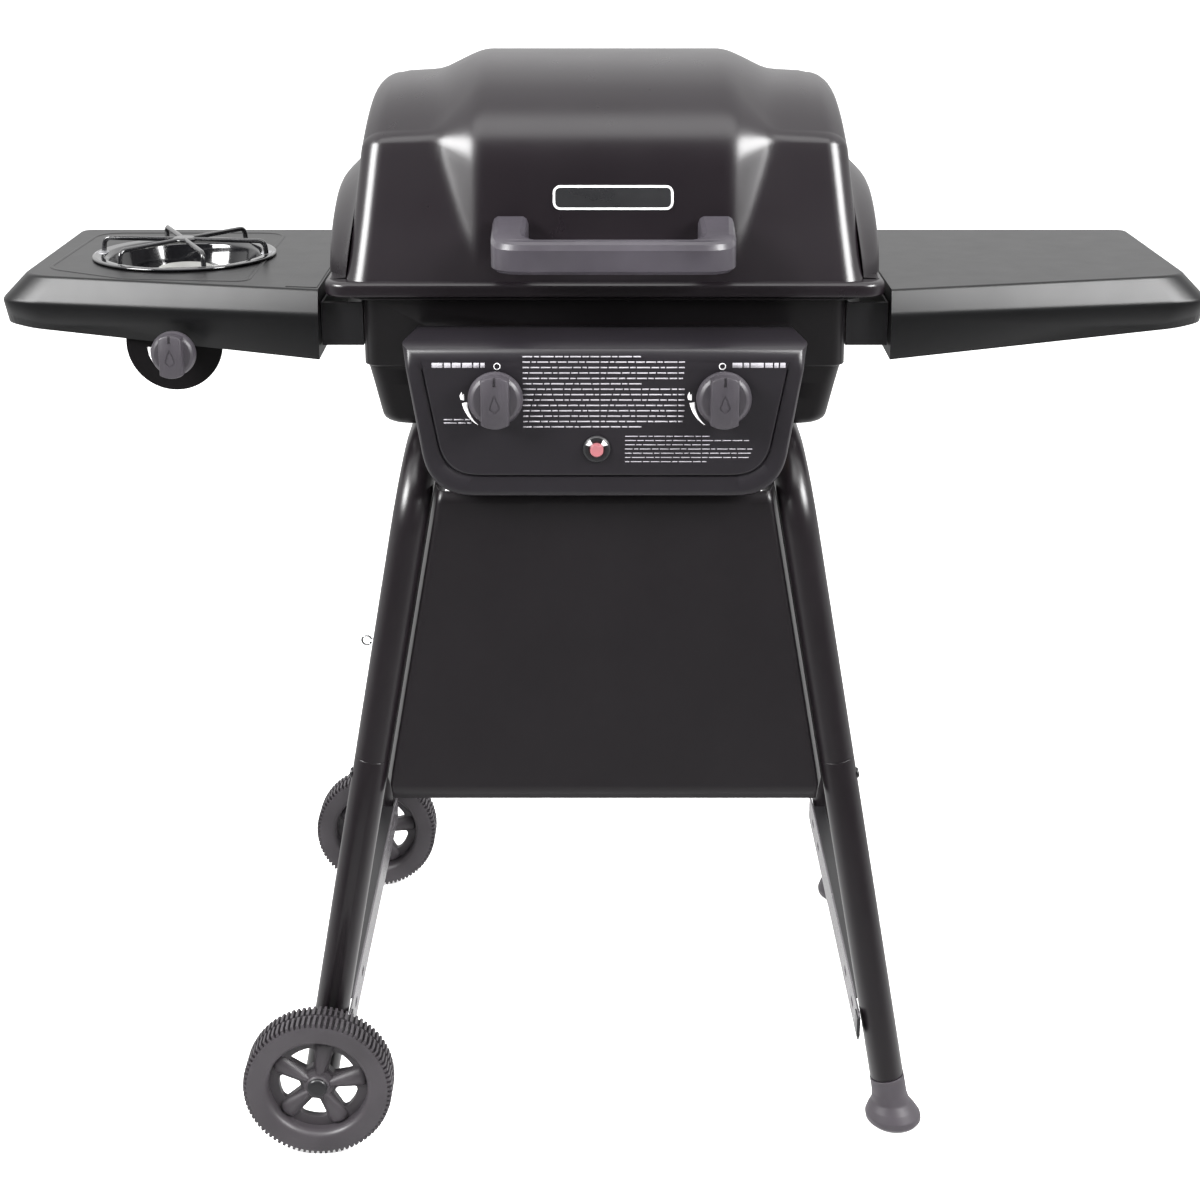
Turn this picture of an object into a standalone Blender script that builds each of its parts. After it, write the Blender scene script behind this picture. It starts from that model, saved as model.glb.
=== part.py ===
"""Two-burner gas barbecue grill with a side burner, as an assembly of separate pieces.

Everything is worked out in millimetres and turned into metres when a mesh is made.
X runs along the grill's width, Y from its front (low) to its back (high), Z up from the floor.
The origin is on the floor, under the middle of the grill.
"""

import math

import bmesh
import bpy
from mathutils import Matrix, Vector
from mathutils.geometry import tessellate_polygon

for old in list(bpy.data.objects):
    bpy.data.objects.remove(old, do_unlink=True)

MM = 0.001
GAP = 0.35                 # clearance between pieces that touch

# Whole grill
HALF_WIDTH = 602.0         # to a side shelf's tip
HALF_DEPTH = 315.0         # to a wheel's outer face
TOP = 1091.0               # top of the lid's raised panel

# Leg frames
SPLAY = 0.179              # how far a leg leans outwards for each unit down
FOOT_X = 306.6             # leg centre line at floor level
LEG_Y = 252.0
TUBE_R = 17.5
TUBE_WALL = 1.6
NECK_GAP = 1.0             # play of a lower leg's neck in the upper tube
BEND_R = 72.0
FRAME_TOP_Z = 725.5        # centre of the tube that runs under the firebox
JOINT_Z = 419.0            # where a lower leg enters the upper frame
FOOT_TOP = 56.0            # top of a foot's sleeve, under the leg tube
LEG_END_LEFT = 62.0        # lower end of the left legs, level with the axle's boss
LEG_END_RIGHT = 57.0
RAIL_LOW = 103.0           # lower and upper edge of the side rails
RAIL_HIGH = 135.0

# Wheels
WHEEL_R = 76.2
WHEEL_W = 38.0
WHEEL_X = -(FOOT_X - SPLAY * WHEEL_R)
WHEEL_Y = HALF_DEPTH - WHEEL_W / 2
SPOKE_TURN = math.radians(80)   # direction of the first spoke
AXLE_R = 5.0

# Firebox and lid, both centred on BOX_Y
BOX_Y = -35.0
BOX_HALF_X = 232.0
BOX_HALF_Y = 170.0
BOX_RIM_Z = 875.0
BOX_SEAM_Z = 807.0
BOX_BOTTOM_Z = 743.5
SHEET = 2.0
DRAIN_R = 15.0
LID_BASE_Z = 884.0
RIM_RISE = 6.0             # how far the lid's rim stands above its base line
RIM_FADE = 60.0            # height above the base at which that rise has faded out
LID_RIM_X = 268.0
LID_RIM_Y = 182.0
LID_BODY_X = 248.0
LID_BODY_Y = 177.0
LID_LEAN = 47.0            # how far the lid's front leans back before it turns over
LID_CREASE = 138.0         # height of that turn above the base
LID_PANEL_RISE = 18.0      # how far the raised panel stands off the lid's shoulders
PANEL_HALF_X = 120.0
HANDLE_SHIFT = 8.0         # the handle sits this far right of the middle
HINGE_Y = 158.0
HINGE_Z = 878.0

# Side shelves
SHELF_Z = 881.0
SHELF_IN_X = 274.0
SHELF_TOP_X = 576.0
SHELF_FRONT_IN = -202.0
SHELF_FRONT_OUT = -130.0
SHELF_BACK = 136.0

# Control panel and what goes through it
PANEL_Y = -287.0
KNOB_X = 105.7             # half the distance between the two knobs
KNOB_SHIFT = 4.5           # how far the pair sits right of the middle
KNOB_Z = 797.0
KNOB_R = 25.6
PANEL_BOTTOM = 699.0
PANEL_TOP = 842.0
KNOB_FRONT = -314.5
KNOB_BACK = -293.0
STEM_DEPTH = 8.0           # how far a stem reaches into its knob
IGNITER_X = -7.5
IGNITER_Z = 747.0

# Side burner
BURNER_X = -434.0
BURNER_Y = -24.0
RING_R = 94.0
SIDE_KNOB_X = -418.5
SIDE_KNOB_Z = 815.0
SIDE_PLATE_Y = -158.5      # front face of the round plate that carries the side knob
SIDE_KNOB_FRONT = -206.0
SIDE_KNOB_BACK = -185.0
SIDE_KNOB_R = 22.0


def leg_x(z):
    """Distance of a leg's centre line from the middle of the grill at height z."""
    return FOOT_X - SPLAY * z


def knob_x(side):
    """Where a knob, its valve and its burner are across the grill."""
    return side * KNOB_X + KNOB_SHIFT


# ---------------------------------------------------------------- mesh tools

def finish(name, bm, origin=(0, 0, 0), smooth=False):
    """Make an object from a bmesh drawn in world millimetres, with its origin at a chosen point."""
    bmesh.ops.recalc_face_normals(bm, faces=bm.faces)
    bm.transform(Matrix.Scale(MM, 4) @ Matrix.Translation(-Vector(origin)))
    mesh = bpy.data.meshes.new(name)
    bm.to_mesh(mesh)
    bm.free()
    if smooth:
        mesh.shade_smooth()
        mesh.set_sharp_from_angle(angle=math.radians(35))
    ob = bpy.data.objects.new(name, mesh)
    ob.location = Vector(origin) * MM
    bpy.context.scene.collection.objects.link(ob)
    return ob


def paint(ob, colour, metallic=0.0, roughness=0.5):
    """Give an object its own Principled material."""
    mat = bpy.data.materials.new(ob.name)
    mat.use_nodes = True
    shader = mat.node_tree.nodes["Principled BSDF"]
    shader.inputs["Base Color"].default_value = (*colour, 1.0)
    shader.inputs["Metallic"].default_value = metallic
    shader.inputs["Roughness"].default_value = roughness
    ob.data.materials.append(mat)
    return ob


def boolean(ob, other, operation="DIFFERENCE"):
    """Cut another object out of ob, or join it on, and keep the other as a hidden guide."""
    mod = ob.modifiers.new(other.name, "BOOLEAN")
    mod.operation = operation
    mod.solver = "EXACT"
    mod.object = other
    other.hide_render = True
    other.display_type = "WIRE"
    return ob


def sheet(name, bm, thickness, inside, origin=(0, 0, 0), even=True, smooth=False):
    """Turn an open skin into sheet metal that is thickened towards a point inside it."""
    bmesh.ops.recalc_face_normals(bm, faces=bm.faces)
    inside = Vector(inside)
    facing = sum((face.calc_center_median() - inside).dot(face.normal) * face.calc_area()
                 for face in bm.faces)
    ob = finish(name, bm, origin, smooth)
    if facing < 0:
        ob.data.flip_normals()
    mod = ob.modifiers.new("sheet", "SOLIDIFY")
    mod.thickness = thickness * MM
    mod.offset = -1.0
    mod.use_even_offset = even
    return ob


AXES = {
    "X": lambda a, b, h: (h, a, b),
    "Y": lambda a, b, h: (a, h, b),
    "Z": lambda a, b, h: (a, b, h),
}


def prism(bm, outline, low, high, axis="Z", holes=()):
    """Extrude a flat outline, with holes, between two heights along an axis."""
    place = AXES[axis]
    loops = [outline, *holes]
    rings = []
    for height in (low, high):
        rings.append([[bm.verts.new(place(a, b, height)) for a, b in loop] for loop in loops])
    triangles = tessellate_polygon([[Vector((a, b, 0)) for a, b in loop] for loop in loops])
    for ring in rings:
        flat = [vert for loop in ring for vert in loop]
        for triangle in triangles:
            bm.faces.new([flat[i] for i in triangle])
    for low_loop, high_loop in zip(*rings):
        count = len(low_loop)
        for i in range(count):
            j = (i + 1) % count
            bm.faces.new((low_loop[i], low_loop[j], high_loop[j], high_loop[i]))


def box(bm, x0, x1, y0, y1, z0, z1):
    """A plain block."""
    prism(bm, [(x0, y0), (x1, y0), (x1, y1), (x0, y1)], z0, z1)


def circle(radius, count, centre=(0, 0), start=0.0):
    """Points round a circle."""
    step = math.tau / count
    return [(centre[0] + radius * math.cos(start + i * step),
             centre[1] + radius * math.sin(start + i * step)) for i in range(count)]


def rounded_rect(half_a, half_b, radius, steps=4, centre=(0, 0)):
    """Points round a rectangle with round corners."""
    points = []
    for corner, (sa, sb) in enumerate(((1, 1), (-1, 1), (-1, -1), (1, -1))):
        for i in range(steps + 1):
            angle = math.pi / 2 * (corner + i / steps)
            points.append((centre[0] + sa * (half_a - radius) + radius * math.cos(angle),
                           centre[1] + sb * (half_b - radius) + radius * math.sin(angle)))
    return points


def lathe(bm, profile, centre, axis="Z", count=24, ring=False):
    """Turn a profile of (radius, height) round an axis; ring closes the profile on itself."""
    place = AXES[axis]
    if axis == "X":
        origin, off = (centre[1], centre[2]), centre[0]
    elif axis == "Y":
        origin, off = (centre[0], centre[2]), centre[1]
    else:
        origin, off = (centre[0], centre[1]), centre[2]
    rows = []
    for radius, height in profile:
        if radius < 1e-6:
            rows.append([bm.verts.new(place(origin[0], origin[1], off + height))])
        else:
            rows.append([bm.verts.new(place(a, b, off + height))
                         for a, b in circle(radius, count, origin)])
    pairs = list(zip(rows, rows[1:]))
    if ring:
        pairs.append((rows[-1], rows[0]))
    for low, high in pairs:
        for i in range(count):
            j = (i + 1) % count
            if len(low) == 1:
                bm.faces.new((low[0], high[j], high[i]))
            elif len(high) == 1:
                bm.faces.new((low[i], low[j], high[0]))
            else:
                bm.faces.new((low[i], low[j], high[j], high[i]))


def sweep(bm, path, radius, count=12, bore=0.0, closed=False):
    """A round bar, or a tube when bore is given, along a path of points."""
    path = [Vector(p) for p in path]
    total = len(path)
    tangents = []
    for i in range(total):
        before = path[i - 1] if (i or closed) else path[i]
        after = path[(i + 1) % total] if (i + 1 < total or closed) else path[i]
        tangents.append((after - before).normalized())
    side = tangents[0].orthogonal().normalized()
    outer, inner = [], []
    for point, tangent in zip(path, tangents):
        side = (side - tangent * side.dot(tangent)).normalized()
        up = tangent.cross(side)
        for rows, size in ((outer, radius), (inner, bore)):
            if size:
                rows.append([bm.verts.new(point + side * a + up * b) for a, b in circle(size, count)])
    for rows in (outer, inner):
        pairs = list(zip(rows, rows[1:]))
        if closed:
            pairs.append((rows[-1], rows[0]))
        for low, high in pairs:
            for i in range(count):
                j = (i + 1) % count
                bm.faces.new((low[i], low[j], high[j], high[i]))
    if closed:
        return
    for end in (0, -1):
        if bore:
            for i in range(count):
                j = (i + 1) % count
                bm.faces.new((outer[end][i], outer[end][j], inner[end][j], inner[end][i]))
        else:
            bm.faces.new(outer[end])


def arc_corner(before, corner, after, radius, steps=6):
    """Points along a round bend that replaces the corner of a path."""
    corner = Vector(corner)
    a = (Vector(before) - corner).normalized()
    b = (Vector(after) - corner).normalized()
    half = a.angle(b) / 2
    centre = corner + (a + b).normalized() * radius / math.sin(half)
    start = corner + a * radius / math.tan(half)
    end = corner + b * radius / math.tan(half)
    turn = (start - centre).angle(end - centre)
    axis = (start - centre).cross(end - centre).normalized()
    return [centre + Matrix.Rotation(turn * i / steps, 3, axis) @ (start - centre)
            for i in range(steps + 1)]


def skin(bm, rows, close_rows=False):
    """Faces between neighbouring rows of points, each row with the same number of points."""
    verts = [[bm.verts.new(p) for p in row] for row in rows]
    for low, high in zip(verts, verts[1:]):
        count = len(low)
        for i in range(count if close_rows else count - 1):
            j = (i + 1) % count
            bm.faces.new((low[i], low[j], high[j], high[i]))
    return verts


def fold_face(bm, row):
    """Fill the flat area inside a row that starts and ends on the same edge."""
    last = len(row) - 1
    for i in range((last + 1) // 2):
        corners = [row[i], row[i + 1], row[last - i - 1], row[last - i]]
        unique = list(dict.fromkeys(corners))
        if len(unique) > 2:
            bm.faces.new(unique)


def guide_cylinder(name, centre, radius, length, axis="Y", count=20):
    """A round cutter."""
    bm = bmesh.new()
    profile = [(0, -length / 2), (radius, -length / 2), (radius, length / 2), (0, length / 2)]
    lathe(bm, profile, centre, axis, count)
    return finish(name, bm)


BLACK = (0.018, 0.018, 0.019)
GUNMETAL = (0.045, 0.044, 0.047)
SHELF_GREY = (0.050, 0.051, 0.053)
PLASTIC = (0.020, 0.020, 0.021)
ENAMEL = (0.006, 0.006, 0.007)
STEEL = (0.55, 0.55, 0.54)
ZINC = (0.42, 0.42, 0.43)
BRASS = (0.62, 0.46, 0.20)
IRON = (0.030, 0.030, 0.031)
RED = (0.70, 0.09, 0.09)


# ---------------------------------------------------------------- firebox

def firebox():
    """Open pan: rim flange, straight upper wall, step, tapering lower wall, floor with a drain."""
    levels = [
        (BOX_HALF_X + 11, BOX_HALF_Y + 8, BOX_RIM_Z - 1.5, 22),
        (BOX_HALF_X, BOX_HALF_Y, BOX_RIM_Z - 1.5, 14),
        (BOX_HALF_X, BOX_HALF_Y, BOX_SEAM_Z, 14),
        (BOX_HALF_X - 3, BOX_HALF_Y - 3, BOX_SEAM_Z - 1.5, 14),
        (BOX_HALF_X - 14, BOX_HALF_Y - 11, BOX_BOTTOM_Z + 12, 16),
        (BOX_HALF_X - 19, BOX_HALF_Y - 16, BOX_BOTTOM_Z + 3, 16),
        (BOX_HALF_X - 30, BOX_HALF_Y - 27, BOX_BOTTOM_Z, 16),
    ]
    rows = [[(a, b, z) for a, b in rounded_rect(hx, hy, r, 3, (0, BOX_Y))]
            for hx, hy, z, r in levels]
    drain = []
    for x, y, _ in rows[-1]:
        share = DRAIN_R / math.hypot(x, y - BOX_Y)
        drain.append((x * share, BOX_Y + (y - BOX_Y) * share, BOX_BOTTOM_Z))
    rows.append(drain)
    bm = bmesh.new()
    skin(bm, rows, close_rows=True)
    ob = sheet("firebox", bm, SHEET, (0, BOX_Y, BOX_RIM_Z))
    for side in (-1, 1):
        hole = guide_cylinder(f"cut_burner_{side}", (knob_x(side), BOX_Y - BOX_HALF_Y, KNOB_Z), 12.5, 50)
        boolean(ob, hole)
    return paint(ob, BLACK, 0.3, 0.45)


# ---------------------------------------------------------------- lid

def lid_profile(steps):
    """Side view of the lid's shoulder from front rim to back rim, as offsets from the lid's middle."""
    crown = TOP - LID_BASE_Z - LID_PANEL_RISE
    turn = 26.0            # radius of the turn
    front = [Vector((-LID_BODY_Y, 0)), Vector((-LID_BODY_Y + LID_LEAN, LID_CREASE))]
    top = Vector((-70, crown - 8))
    points = [front[0], front[0].lerp(front[1], 0.33), front[0].lerp(front[1], 0.66)]
    a = (front[0] - front[1]).normalized()
    b = (top - front[1]).normalized()
    start = front[1] + a * turn * 0.6
    end = front[1] + b * turn * 0.6
    for i in range(steps + 1):
        t = i / steps
        points.append(start.lerp(front[1], t).lerp(front[1].lerp(end, t), t))
    points += [top, Vector((-35, crown - 2)), Vector((0, crown))]
    return points + [Vector((-p.x, p.y)) for p in reversed(points[:-1])]


def lid_half_x(height):
    """Half width of the lid's body at a height above its base."""
    return LID_BODY_X - 0.115 * height


def panel_rise(height):
    """How far the raised panel stands off at a height above the base: it fades near the rim."""
    return LID_PANEL_RISE * min(1.0, max(0.0, (height - 20) / 110))


def panel_foot(height):
    """Half width of the raised panel's foot, wide at the top and closing on the panel below."""
    return 124 + 34 * min(1.0, max(0.0, (height - 15) / 120))


def lid_skin():
    """Rows of points over the lid's outside, from the left ear to the right ear."""
    profile = lid_profile(1)
    count = len(profile)
    normals = []
    for i, p in enumerate(profile):
        along = profile[min(i + 1, count - 1)] - profile[max(i - 1, 0)]
        normals.append(Vector((-along.y, along.x)).normalized())
    ear_y, ear_z, ear_x, ear_round = 157.0, 105.0, 265.0, 38.0
    fillet = 20.0
    rows = []

    def arch(half, rise, x):
        row = []
        for p in profile:
            angle = math.atan2(p.y, -p.x)
            reach = half * rise / math.hypot(rise * math.cos(angle), half * math.sin(angle))
            row.append(Vector((x, -reach * math.cos(angle), reach * math.sin(angle))))
        return row

    rows.append(arch(ear_y - ear_round, ear_z - ear_round, -ear_x))
    rows.append(arch(ear_y - ear_round * 0.4, ear_z - ear_round * 0.4, -ear_x + ear_round * 0.3))
    foot = arch(ear_y, ear_z, 0)
    rows.append([Vector((-lid_half_x(p.z), p.y, p.z)) for p in foot])
    for turn in (0, 30, 60):
        inset = fillet * (1 - math.sin(math.radians(turn)))
        out = fillet * (1 - math.cos(math.radians(turn)))
        row = []
        for p, n in zip(profile, normals):
            q = p - n * inset
            row.append(Vector((-(lid_half_x(max(q.y, 0)) - out), q.x, max(q.y, 0))))
        rows.append(row)
    for share in (0.0, 1.0):
        rows.append([Vector((-((lid_half_x(p.y) - fillet) * (1 - share) + (panel_foot(p.y) + 1) * share),
                             p.x, p.y)) for p in profile])
    row = []
    for p, n in zip(profile, normals):
        q = p + n * panel_rise(p.y)
        row.append(Vector((-PANEL_HALF_X, q.x, q.y)))
    rows.append(row)
    rows += [[Vector((-p.x, p.y, p.z)) for p in row] for row in reversed(rows)]
    return rows


def lid_shell():
    """Pressed lid with a raised middle panel, a round ear at each end and a turned rim."""
    rows = lid_skin()
    last = len(rows[0]) - 1
    bm = bmesh.new()
    base = Vector((0, BOX_Y, LID_BASE_Z))
    for row in rows:
        for p in row:
            p.z += RIM_RISE * max(0.0, 1 - p.z / RIM_FADE)
    verts = skin(bm, [[p + base for p in row] for row in rows])
    for row in (verts[0], verts[-1]):
        fold_face(bm, row)
    edge = [row[0] for row in verts] + [row[last] for row in reversed(verts)]
    radius, setback = 24.0, 16.0
    corner_x, corner_y = LID_RIM_X - radius, LID_RIM_Y - radius

    def rim_point(vert, grow, z):
        x, y = vert.co.x, vert.co.y - BOX_Y
        sx, sy = (1 if x > 0 else -1), (1 if y > 0 else -1)
        inner_x, inner_y = LID_BODY_X - setback, LID_BODY_Y - setback
        if abs(x) <= inner_x:
            return Vector((x * corner_x / inner_x, BOX_Y + sy * (LID_RIM_Y + grow), z))
        if abs(y) <= inner_y + 1:
            return Vector((sx * (LID_RIM_X + grow), BOX_Y + y * corner_y / (inner_y + 1), z))
        angle = math.atan2(abs(y) - inner_y, abs(x) - inner_x)
        out = radius + grow
        return Vector((sx * (corner_x + out * math.cos(angle)),
                       BOX_Y + sy * (corner_y + out * math.sin(angle)), z))

    loops = [edge]
    for grow, z in ((-5.0, LID_BASE_Z + RIM_RISE), (0.0, LID_BASE_Z + 2), (0.0, LID_BASE_Z - 8)):
        loops.append([bm.verts.new(rim_point(vert, grow, z)) for vert in edge])
    for low, high in zip(loops, loops[1:]):
        count = len(low)
        for i in range(count):
            j = (i + 1) % count
            bm.faces.new((low[i], low[j], high[j], high[i]))
    ob = sheet("lid_shell", bm, SHEET, (0, BOX_Y, LID_BASE_Z), (0, HINGE_Y, HINGE_Z), smooth=True)
    return paint(ob, BLACK, 0.3, 0.38)


def lid_face_y(z):
    """Where the raised panel's front is at a height."""
    height = z - LID_BASE_Z
    if height < RIM_FADE:
        height = (height - RIM_RISE) / (1 - RIM_RISE / RIM_FADE)
    return BOX_Y - LID_BODY_Y + LID_LEAN * height / LID_CREASE - 0.95 * panel_rise(height)


def lid_handle():
    """Wide handle: a flat bar whose ends sweep back to the lid."""
    z_low, z_high = 908.0, 940.0
    outer, inner = 113.0, 77.0
    front, back, root = -276.0, -257.0, -208.0
    corner, inner_corner = 26.0, 16.0
    outline = [(-outer, root), (-outer, front + corner)]
    outline += [(-outer + corner * (1 - math.cos(a)), front + corner * (1 - math.sin(a)))
                for a in (math.radians(d) for d in (30, 60, 90))]
    outline += [(-x, y) for x, y in reversed(outline)]
    inner_side = [(inner, root), (inner, back + inner_corner), (inner - inner_corner, back)]
    outline += inner_side + [(-x, y) for x, y in reversed(inner_side)]
    bm = bmesh.new()
    prism(bm, [(x + HANDLE_SHIFT, y) for x, y in outline], z_low, z_high)
    ob = finish("lid_handle", bm, (0, HINGE_Y, HINGE_Z))
    cutter = bmesh.new()
    play = GAP + 0.6
    slope = [(lid_face_y(LID_BASE_Z) - play, 870.0), (-100.0, 870.0), (-100.0, 1000.0)]
    slope += [(lid_face_y(z) - play, z) for z in (1000.0, 970.0, 950.0, 930.0, 915.0, 900.0, 890.0)]
    prism(cutter, slope, -150, 150, "X")
    boolean(ob, finish("cut_handle_back", cutter))
    return paint(ob, GUNMETAL, 0.0, 0.5)


def hinge_bracket(side):
    """Upright ear on the firebox's back wall that carries the lid's pin."""
    x = side * 150.0
    y0 = BOX_Y + BOX_HALF_Y + GAP
    outline = [(y0, 812), (y0 + 8, 812), (HINGE_Y + 9, 862), (HINGE_Y + 9, HINGE_Z + 4),
               (HINGE_Y + 4, HINGE_Z + 9), (HINGE_Y - 4, HINGE_Z + 9), (HINGE_Y - 9, HINGE_Z + 4),
               (HINGE_Y - 9, 868), (y0, 860)]
    bm = bmesh.new()
    prism(bm, outline, x - 3, x + 3, "X", holes=[circle(4.4, 16, (HINGE_Y, HINGE_Z))])
    name = "hinge_bracket_left" if side < 0 else "hinge_bracket_right"
    return paint(finish(name, bm), BLACK, 0.4, 0.5)


def lid_hinge_ear(side):
    """Lug on the lid's back that swings on the pin."""
    x = side * 158.0
    outline = [(BOX_Y + LID_RIM_Y + GAP, 877), (HINGE_Y - 2, HINGE_Z - 9), (HINGE_Y + 6, HINGE_Z - 7),
               (HINGE_Y + 9, HINGE_Z), (HINGE_Y + 7, HINGE_Z + 7), (HINGE_Y, HINGE_Z + 26),
               (BOX_Y + LID_BODY_Y + 4, HINGE_Z + 36), (BOX_Y + LID_RIM_Y + GAP, HINGE_Z + 9)]
    bm = bmesh.new()
    prism(bm, outline, x - 2.5, x + 2.5, "X", holes=[circle(4.4, 16, (HINGE_Y, HINGE_Z))])
    name = "lid_hinge_ear_left" if side < 0 else "lid_hinge_ear_right"
    return paint(finish(name, bm, (x, HINGE_Y, HINGE_Z)), BLACK, 0.4, 0.5)


def hinge_rod():
    """One steel rod through both brackets and both lugs."""
    bm = bmesh.new()
    half = 168.0
    profile = [(0, -half - 3), (6, -half - 3), (6, -half), (4, -half), (4, half), (6, half),
               (6, half + 3), (0, half + 3)]
    lathe(bm, profile, (0, HINGE_Y, HINGE_Z), "X", 12)
    return paint(finish("hinge_rod", bm), STEEL, 0.9, 0.35)


# ---------------------------------------------------------------- inside the firebox

INNER_X = BOX_HALF_X - SHEET
INNER_Y = BOX_HALF_Y - SHEET
GRATE_Z = 850.0


def grate_ledge():
    """Ledge round the inside of the firebox that the grates lie on."""
    bm = bmesh.new()
    outline = rounded_rect(INNER_X - GAP, INNER_Y - GAP, 14, 3, (0, BOX_Y))
    opening = rounded_rect(INNER_X - 12, INNER_Y - 12, 6, 2, (0, BOX_Y))
    prism(bm, outline, GRATE_Z - 2, GRATE_Z, holes=[opening])
    return paint(finish("grate_ledge", bm), IRON, 0.2, 0.7)


def cooking_grate(name, side):
    """Cast grate: a rim, long bars from front to back and one cross bar."""
    x0, x1 = 1.5, INNER_X - 6
    y0, y1 = BOX_Y - INNER_Y + 4, BOX_Y + INNER_Y - 4
    rim, bars, web = 8.0, 9, 7.0
    pitch = (x1 - x0 - 2 * rim + web) / bars
    holes = []
    for i in range(bars):
        left = x0 + rim + i * pitch
        for low, high in ((y0 + rim, BOX_Y - 5), (BOX_Y + 5, y1 - rim)):
            holes.append([(side * (left + a), b) for a, b in
                          ((0, low), (pitch - web, low), (pitch - web, high), (0, high))])
    outline = [(side * x0, y0), (side * x1, y0), (side * x1, y1), (side * x0, y1)]
    bm = bmesh.new()
    prism(bm, outline, GRATE_Z + GAP, GRATE_Z + 9, holes=holes)
    return paint(finish(name, bm), IRON, 0.2, 0.65)


def heat_tent(name, side):
    """Folded steel roof over a burner."""
    x, half, rise, low = knob_x(side), 62.0, 22.0, 814.0
    outline = [(x - half, low), (x, low + rise), (x + half, low),
               (x + half, low + 1.6), (x, low + rise + 1.8), (x - half, low + 1.6)]
    bm = bmesh.new()
    prism(bm, outline, BOX_Y - INNER_Y + GAP, BOX_Y + INNER_Y - GAP, "Y")
    return paint(finish(name, bm), ZINC, 0.7, 0.45)


def tube_burner(name, side):
    """Straight tube burner; its open throat sticks out through the firebox's front wall."""
    front, back = -228.0, BOX_Y + INNER_Y - 12
    profile = [(0, back - 1.6), (9.6, back - 1.6), (9.6, front), (11, front), (11, back), (0, back)]
    bm = bmesh.new()
    lathe(bm, profile, (knob_x(side), 0, KNOB_Z), "Y", 16)
    return paint(finish(name, bm, (knob_x(side), 0, KNOB_Z), smooth=True), STEEL, 0.9, 0.4)


def lattice(bm, xs, ys, low, high):
    """A flat grid of bars: cells with an odd column and an odd row are open."""
    solid = {(i, j) for i in range(len(xs) - 1) for j in range(len(ys) - 1) if not (i % 2 and j % 2)}
    corner = {}

    def vert(i, j, z):
        if (i, j, z) not in corner:
            corner[i, j, z] = bm.verts.new((xs[i], ys[j], z))
        return corner[i, j, z]

    for i, j in solid:
        ring = ((i, j), (i + 1, j), (i + 1, j + 1), (i, j + 1))
        for z in (low, high):
            bm.faces.new([vert(a, b, z) for a, b in ring])
        beside = ((i, j - 1), (i + 1, j), (i, j + 1), (i - 1, j))
        for k, cell in enumerate(beside):
            if cell not in solid:
                a, b = ring[k], ring[(k + 1) % 4]
                bm.faces.new((vert(*a, low), vert(*b, low), vert(*b, high), vert(*a, high)))


def warming_rack():
    """Raised rack at the back, on four legs that stand on the cooking grates."""
    y0, y1, z = 8.0, 104.0, 940.0
    half, bars, rim, bar = 190.0, 9, 8.0, 6.0
    pitch = (2 * half - 2 * rim + bar) / bars
    xs = [-half]
    for i in range(bars):
        left = -half + rim + i * pitch
        xs += [left, left + pitch - bar]
    xs.append(half)
    bm = bmesh.new()
    lattice(bm, xs, [y0, y0 + 7, y1 - 7, y1], z, z + 4)
    ob = finish("warming_rack", bm)
    foot = GRATE_Z + 9 + GAP
    for name, x, y in (("a", -half + 4, y0 + 3.5), ("b", half - 4, y0 + 3.5),
                       ("c", -half + 4, y1 - 3.5), ("d", half - 4, y1 - 3.5)):
        leg = bmesh.new()
        box(leg, x - 2, x + 2, y - 2, y + 2, foot, z + 2)
        boolean(ob, finish(f"join_rack_{name}", leg), "UNION")
    return paint(ob, STEEL, 0.95, 0.3)


def electrode():
    """Ceramic spark electrode on the firebox's floor beside the left burner."""
    bm = bmesh.new()
    foot = BOX_BOTTOM_Z + SHEET + GAP
    profile = [(0, foot), (9, foot), (9, foot + 3), (4, foot + 3), (4, foot + 44), (1.2, foot + 46),
               (1.2, foot + 56), (0, foot + 56)]
    lathe(bm, profile, (knob_x(-1) + 24, -120, 0), "Z", 12)
    return paint(finish("spark_electrode", bm), (0.75, 0.73, 0.68), 0.0, 0.35)


# ---------------------------------------------------------------- grease tray

TRAY_X = 72.0
TRAY_Z = 728.0


def grease_runner(name, side):
    """Folded rail under the firebox that a tray flange slides in."""
    x = side * TRAY_X
    top = BOX_BOTTOM_Z - SHEET - GAP
    outline = [(x + side * 16, top), (x + side * 4, top), (x + side * 4, TRAY_Z - 4),
               (x - side * 5, TRAY_Z - 4), (x - side * 5, TRAY_Z - 5.5), (x + side * 5.5, TRAY_Z - 5.5),
               (x + side * 5.5, top - 1.5), (x + side * 16, top - 1.5)]
    bm = bmesh.new()
    prism(bm, outline, BOX_Y - 85, BOX_Y + 95, "Y")
    return paint(finish(name, bm), ZINC, 0.7, 0.45)


def grease_tray():
    """Shallow tray that catches fat under the drain and slides out at the back."""
    half, depth = TRAY_X + 2.5, 78.0
    levels = [(half, depth, TRAY_Z - 4 + GAP), (half - 12, depth - 8, TRAY_Z - 4 + GAP),
              (half - 14, depth - 10, TRAY_Z - 22), (half - 22, depth - 18, TRAY_Z - 26)]
    rows = [[(a, b, z) for a, b in rounded_rect(hx, hy, 6, 1, (0, BOX_Y))] for hx, hy, z in levels]
    bm = bmesh.new()
    verts = skin(bm, rows, close_rows=True)
    bm.faces.new(verts[-1])
    ob = sheet("grease_tray", bm, 0.8, (0, BOX_Y, TRAY_Z + 5), (0, BOX_Y, TRAY_Z))
    return paint(ob, ZINC, 0.7, 0.4)


# ---------------------------------------------------------------- control panel

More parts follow.
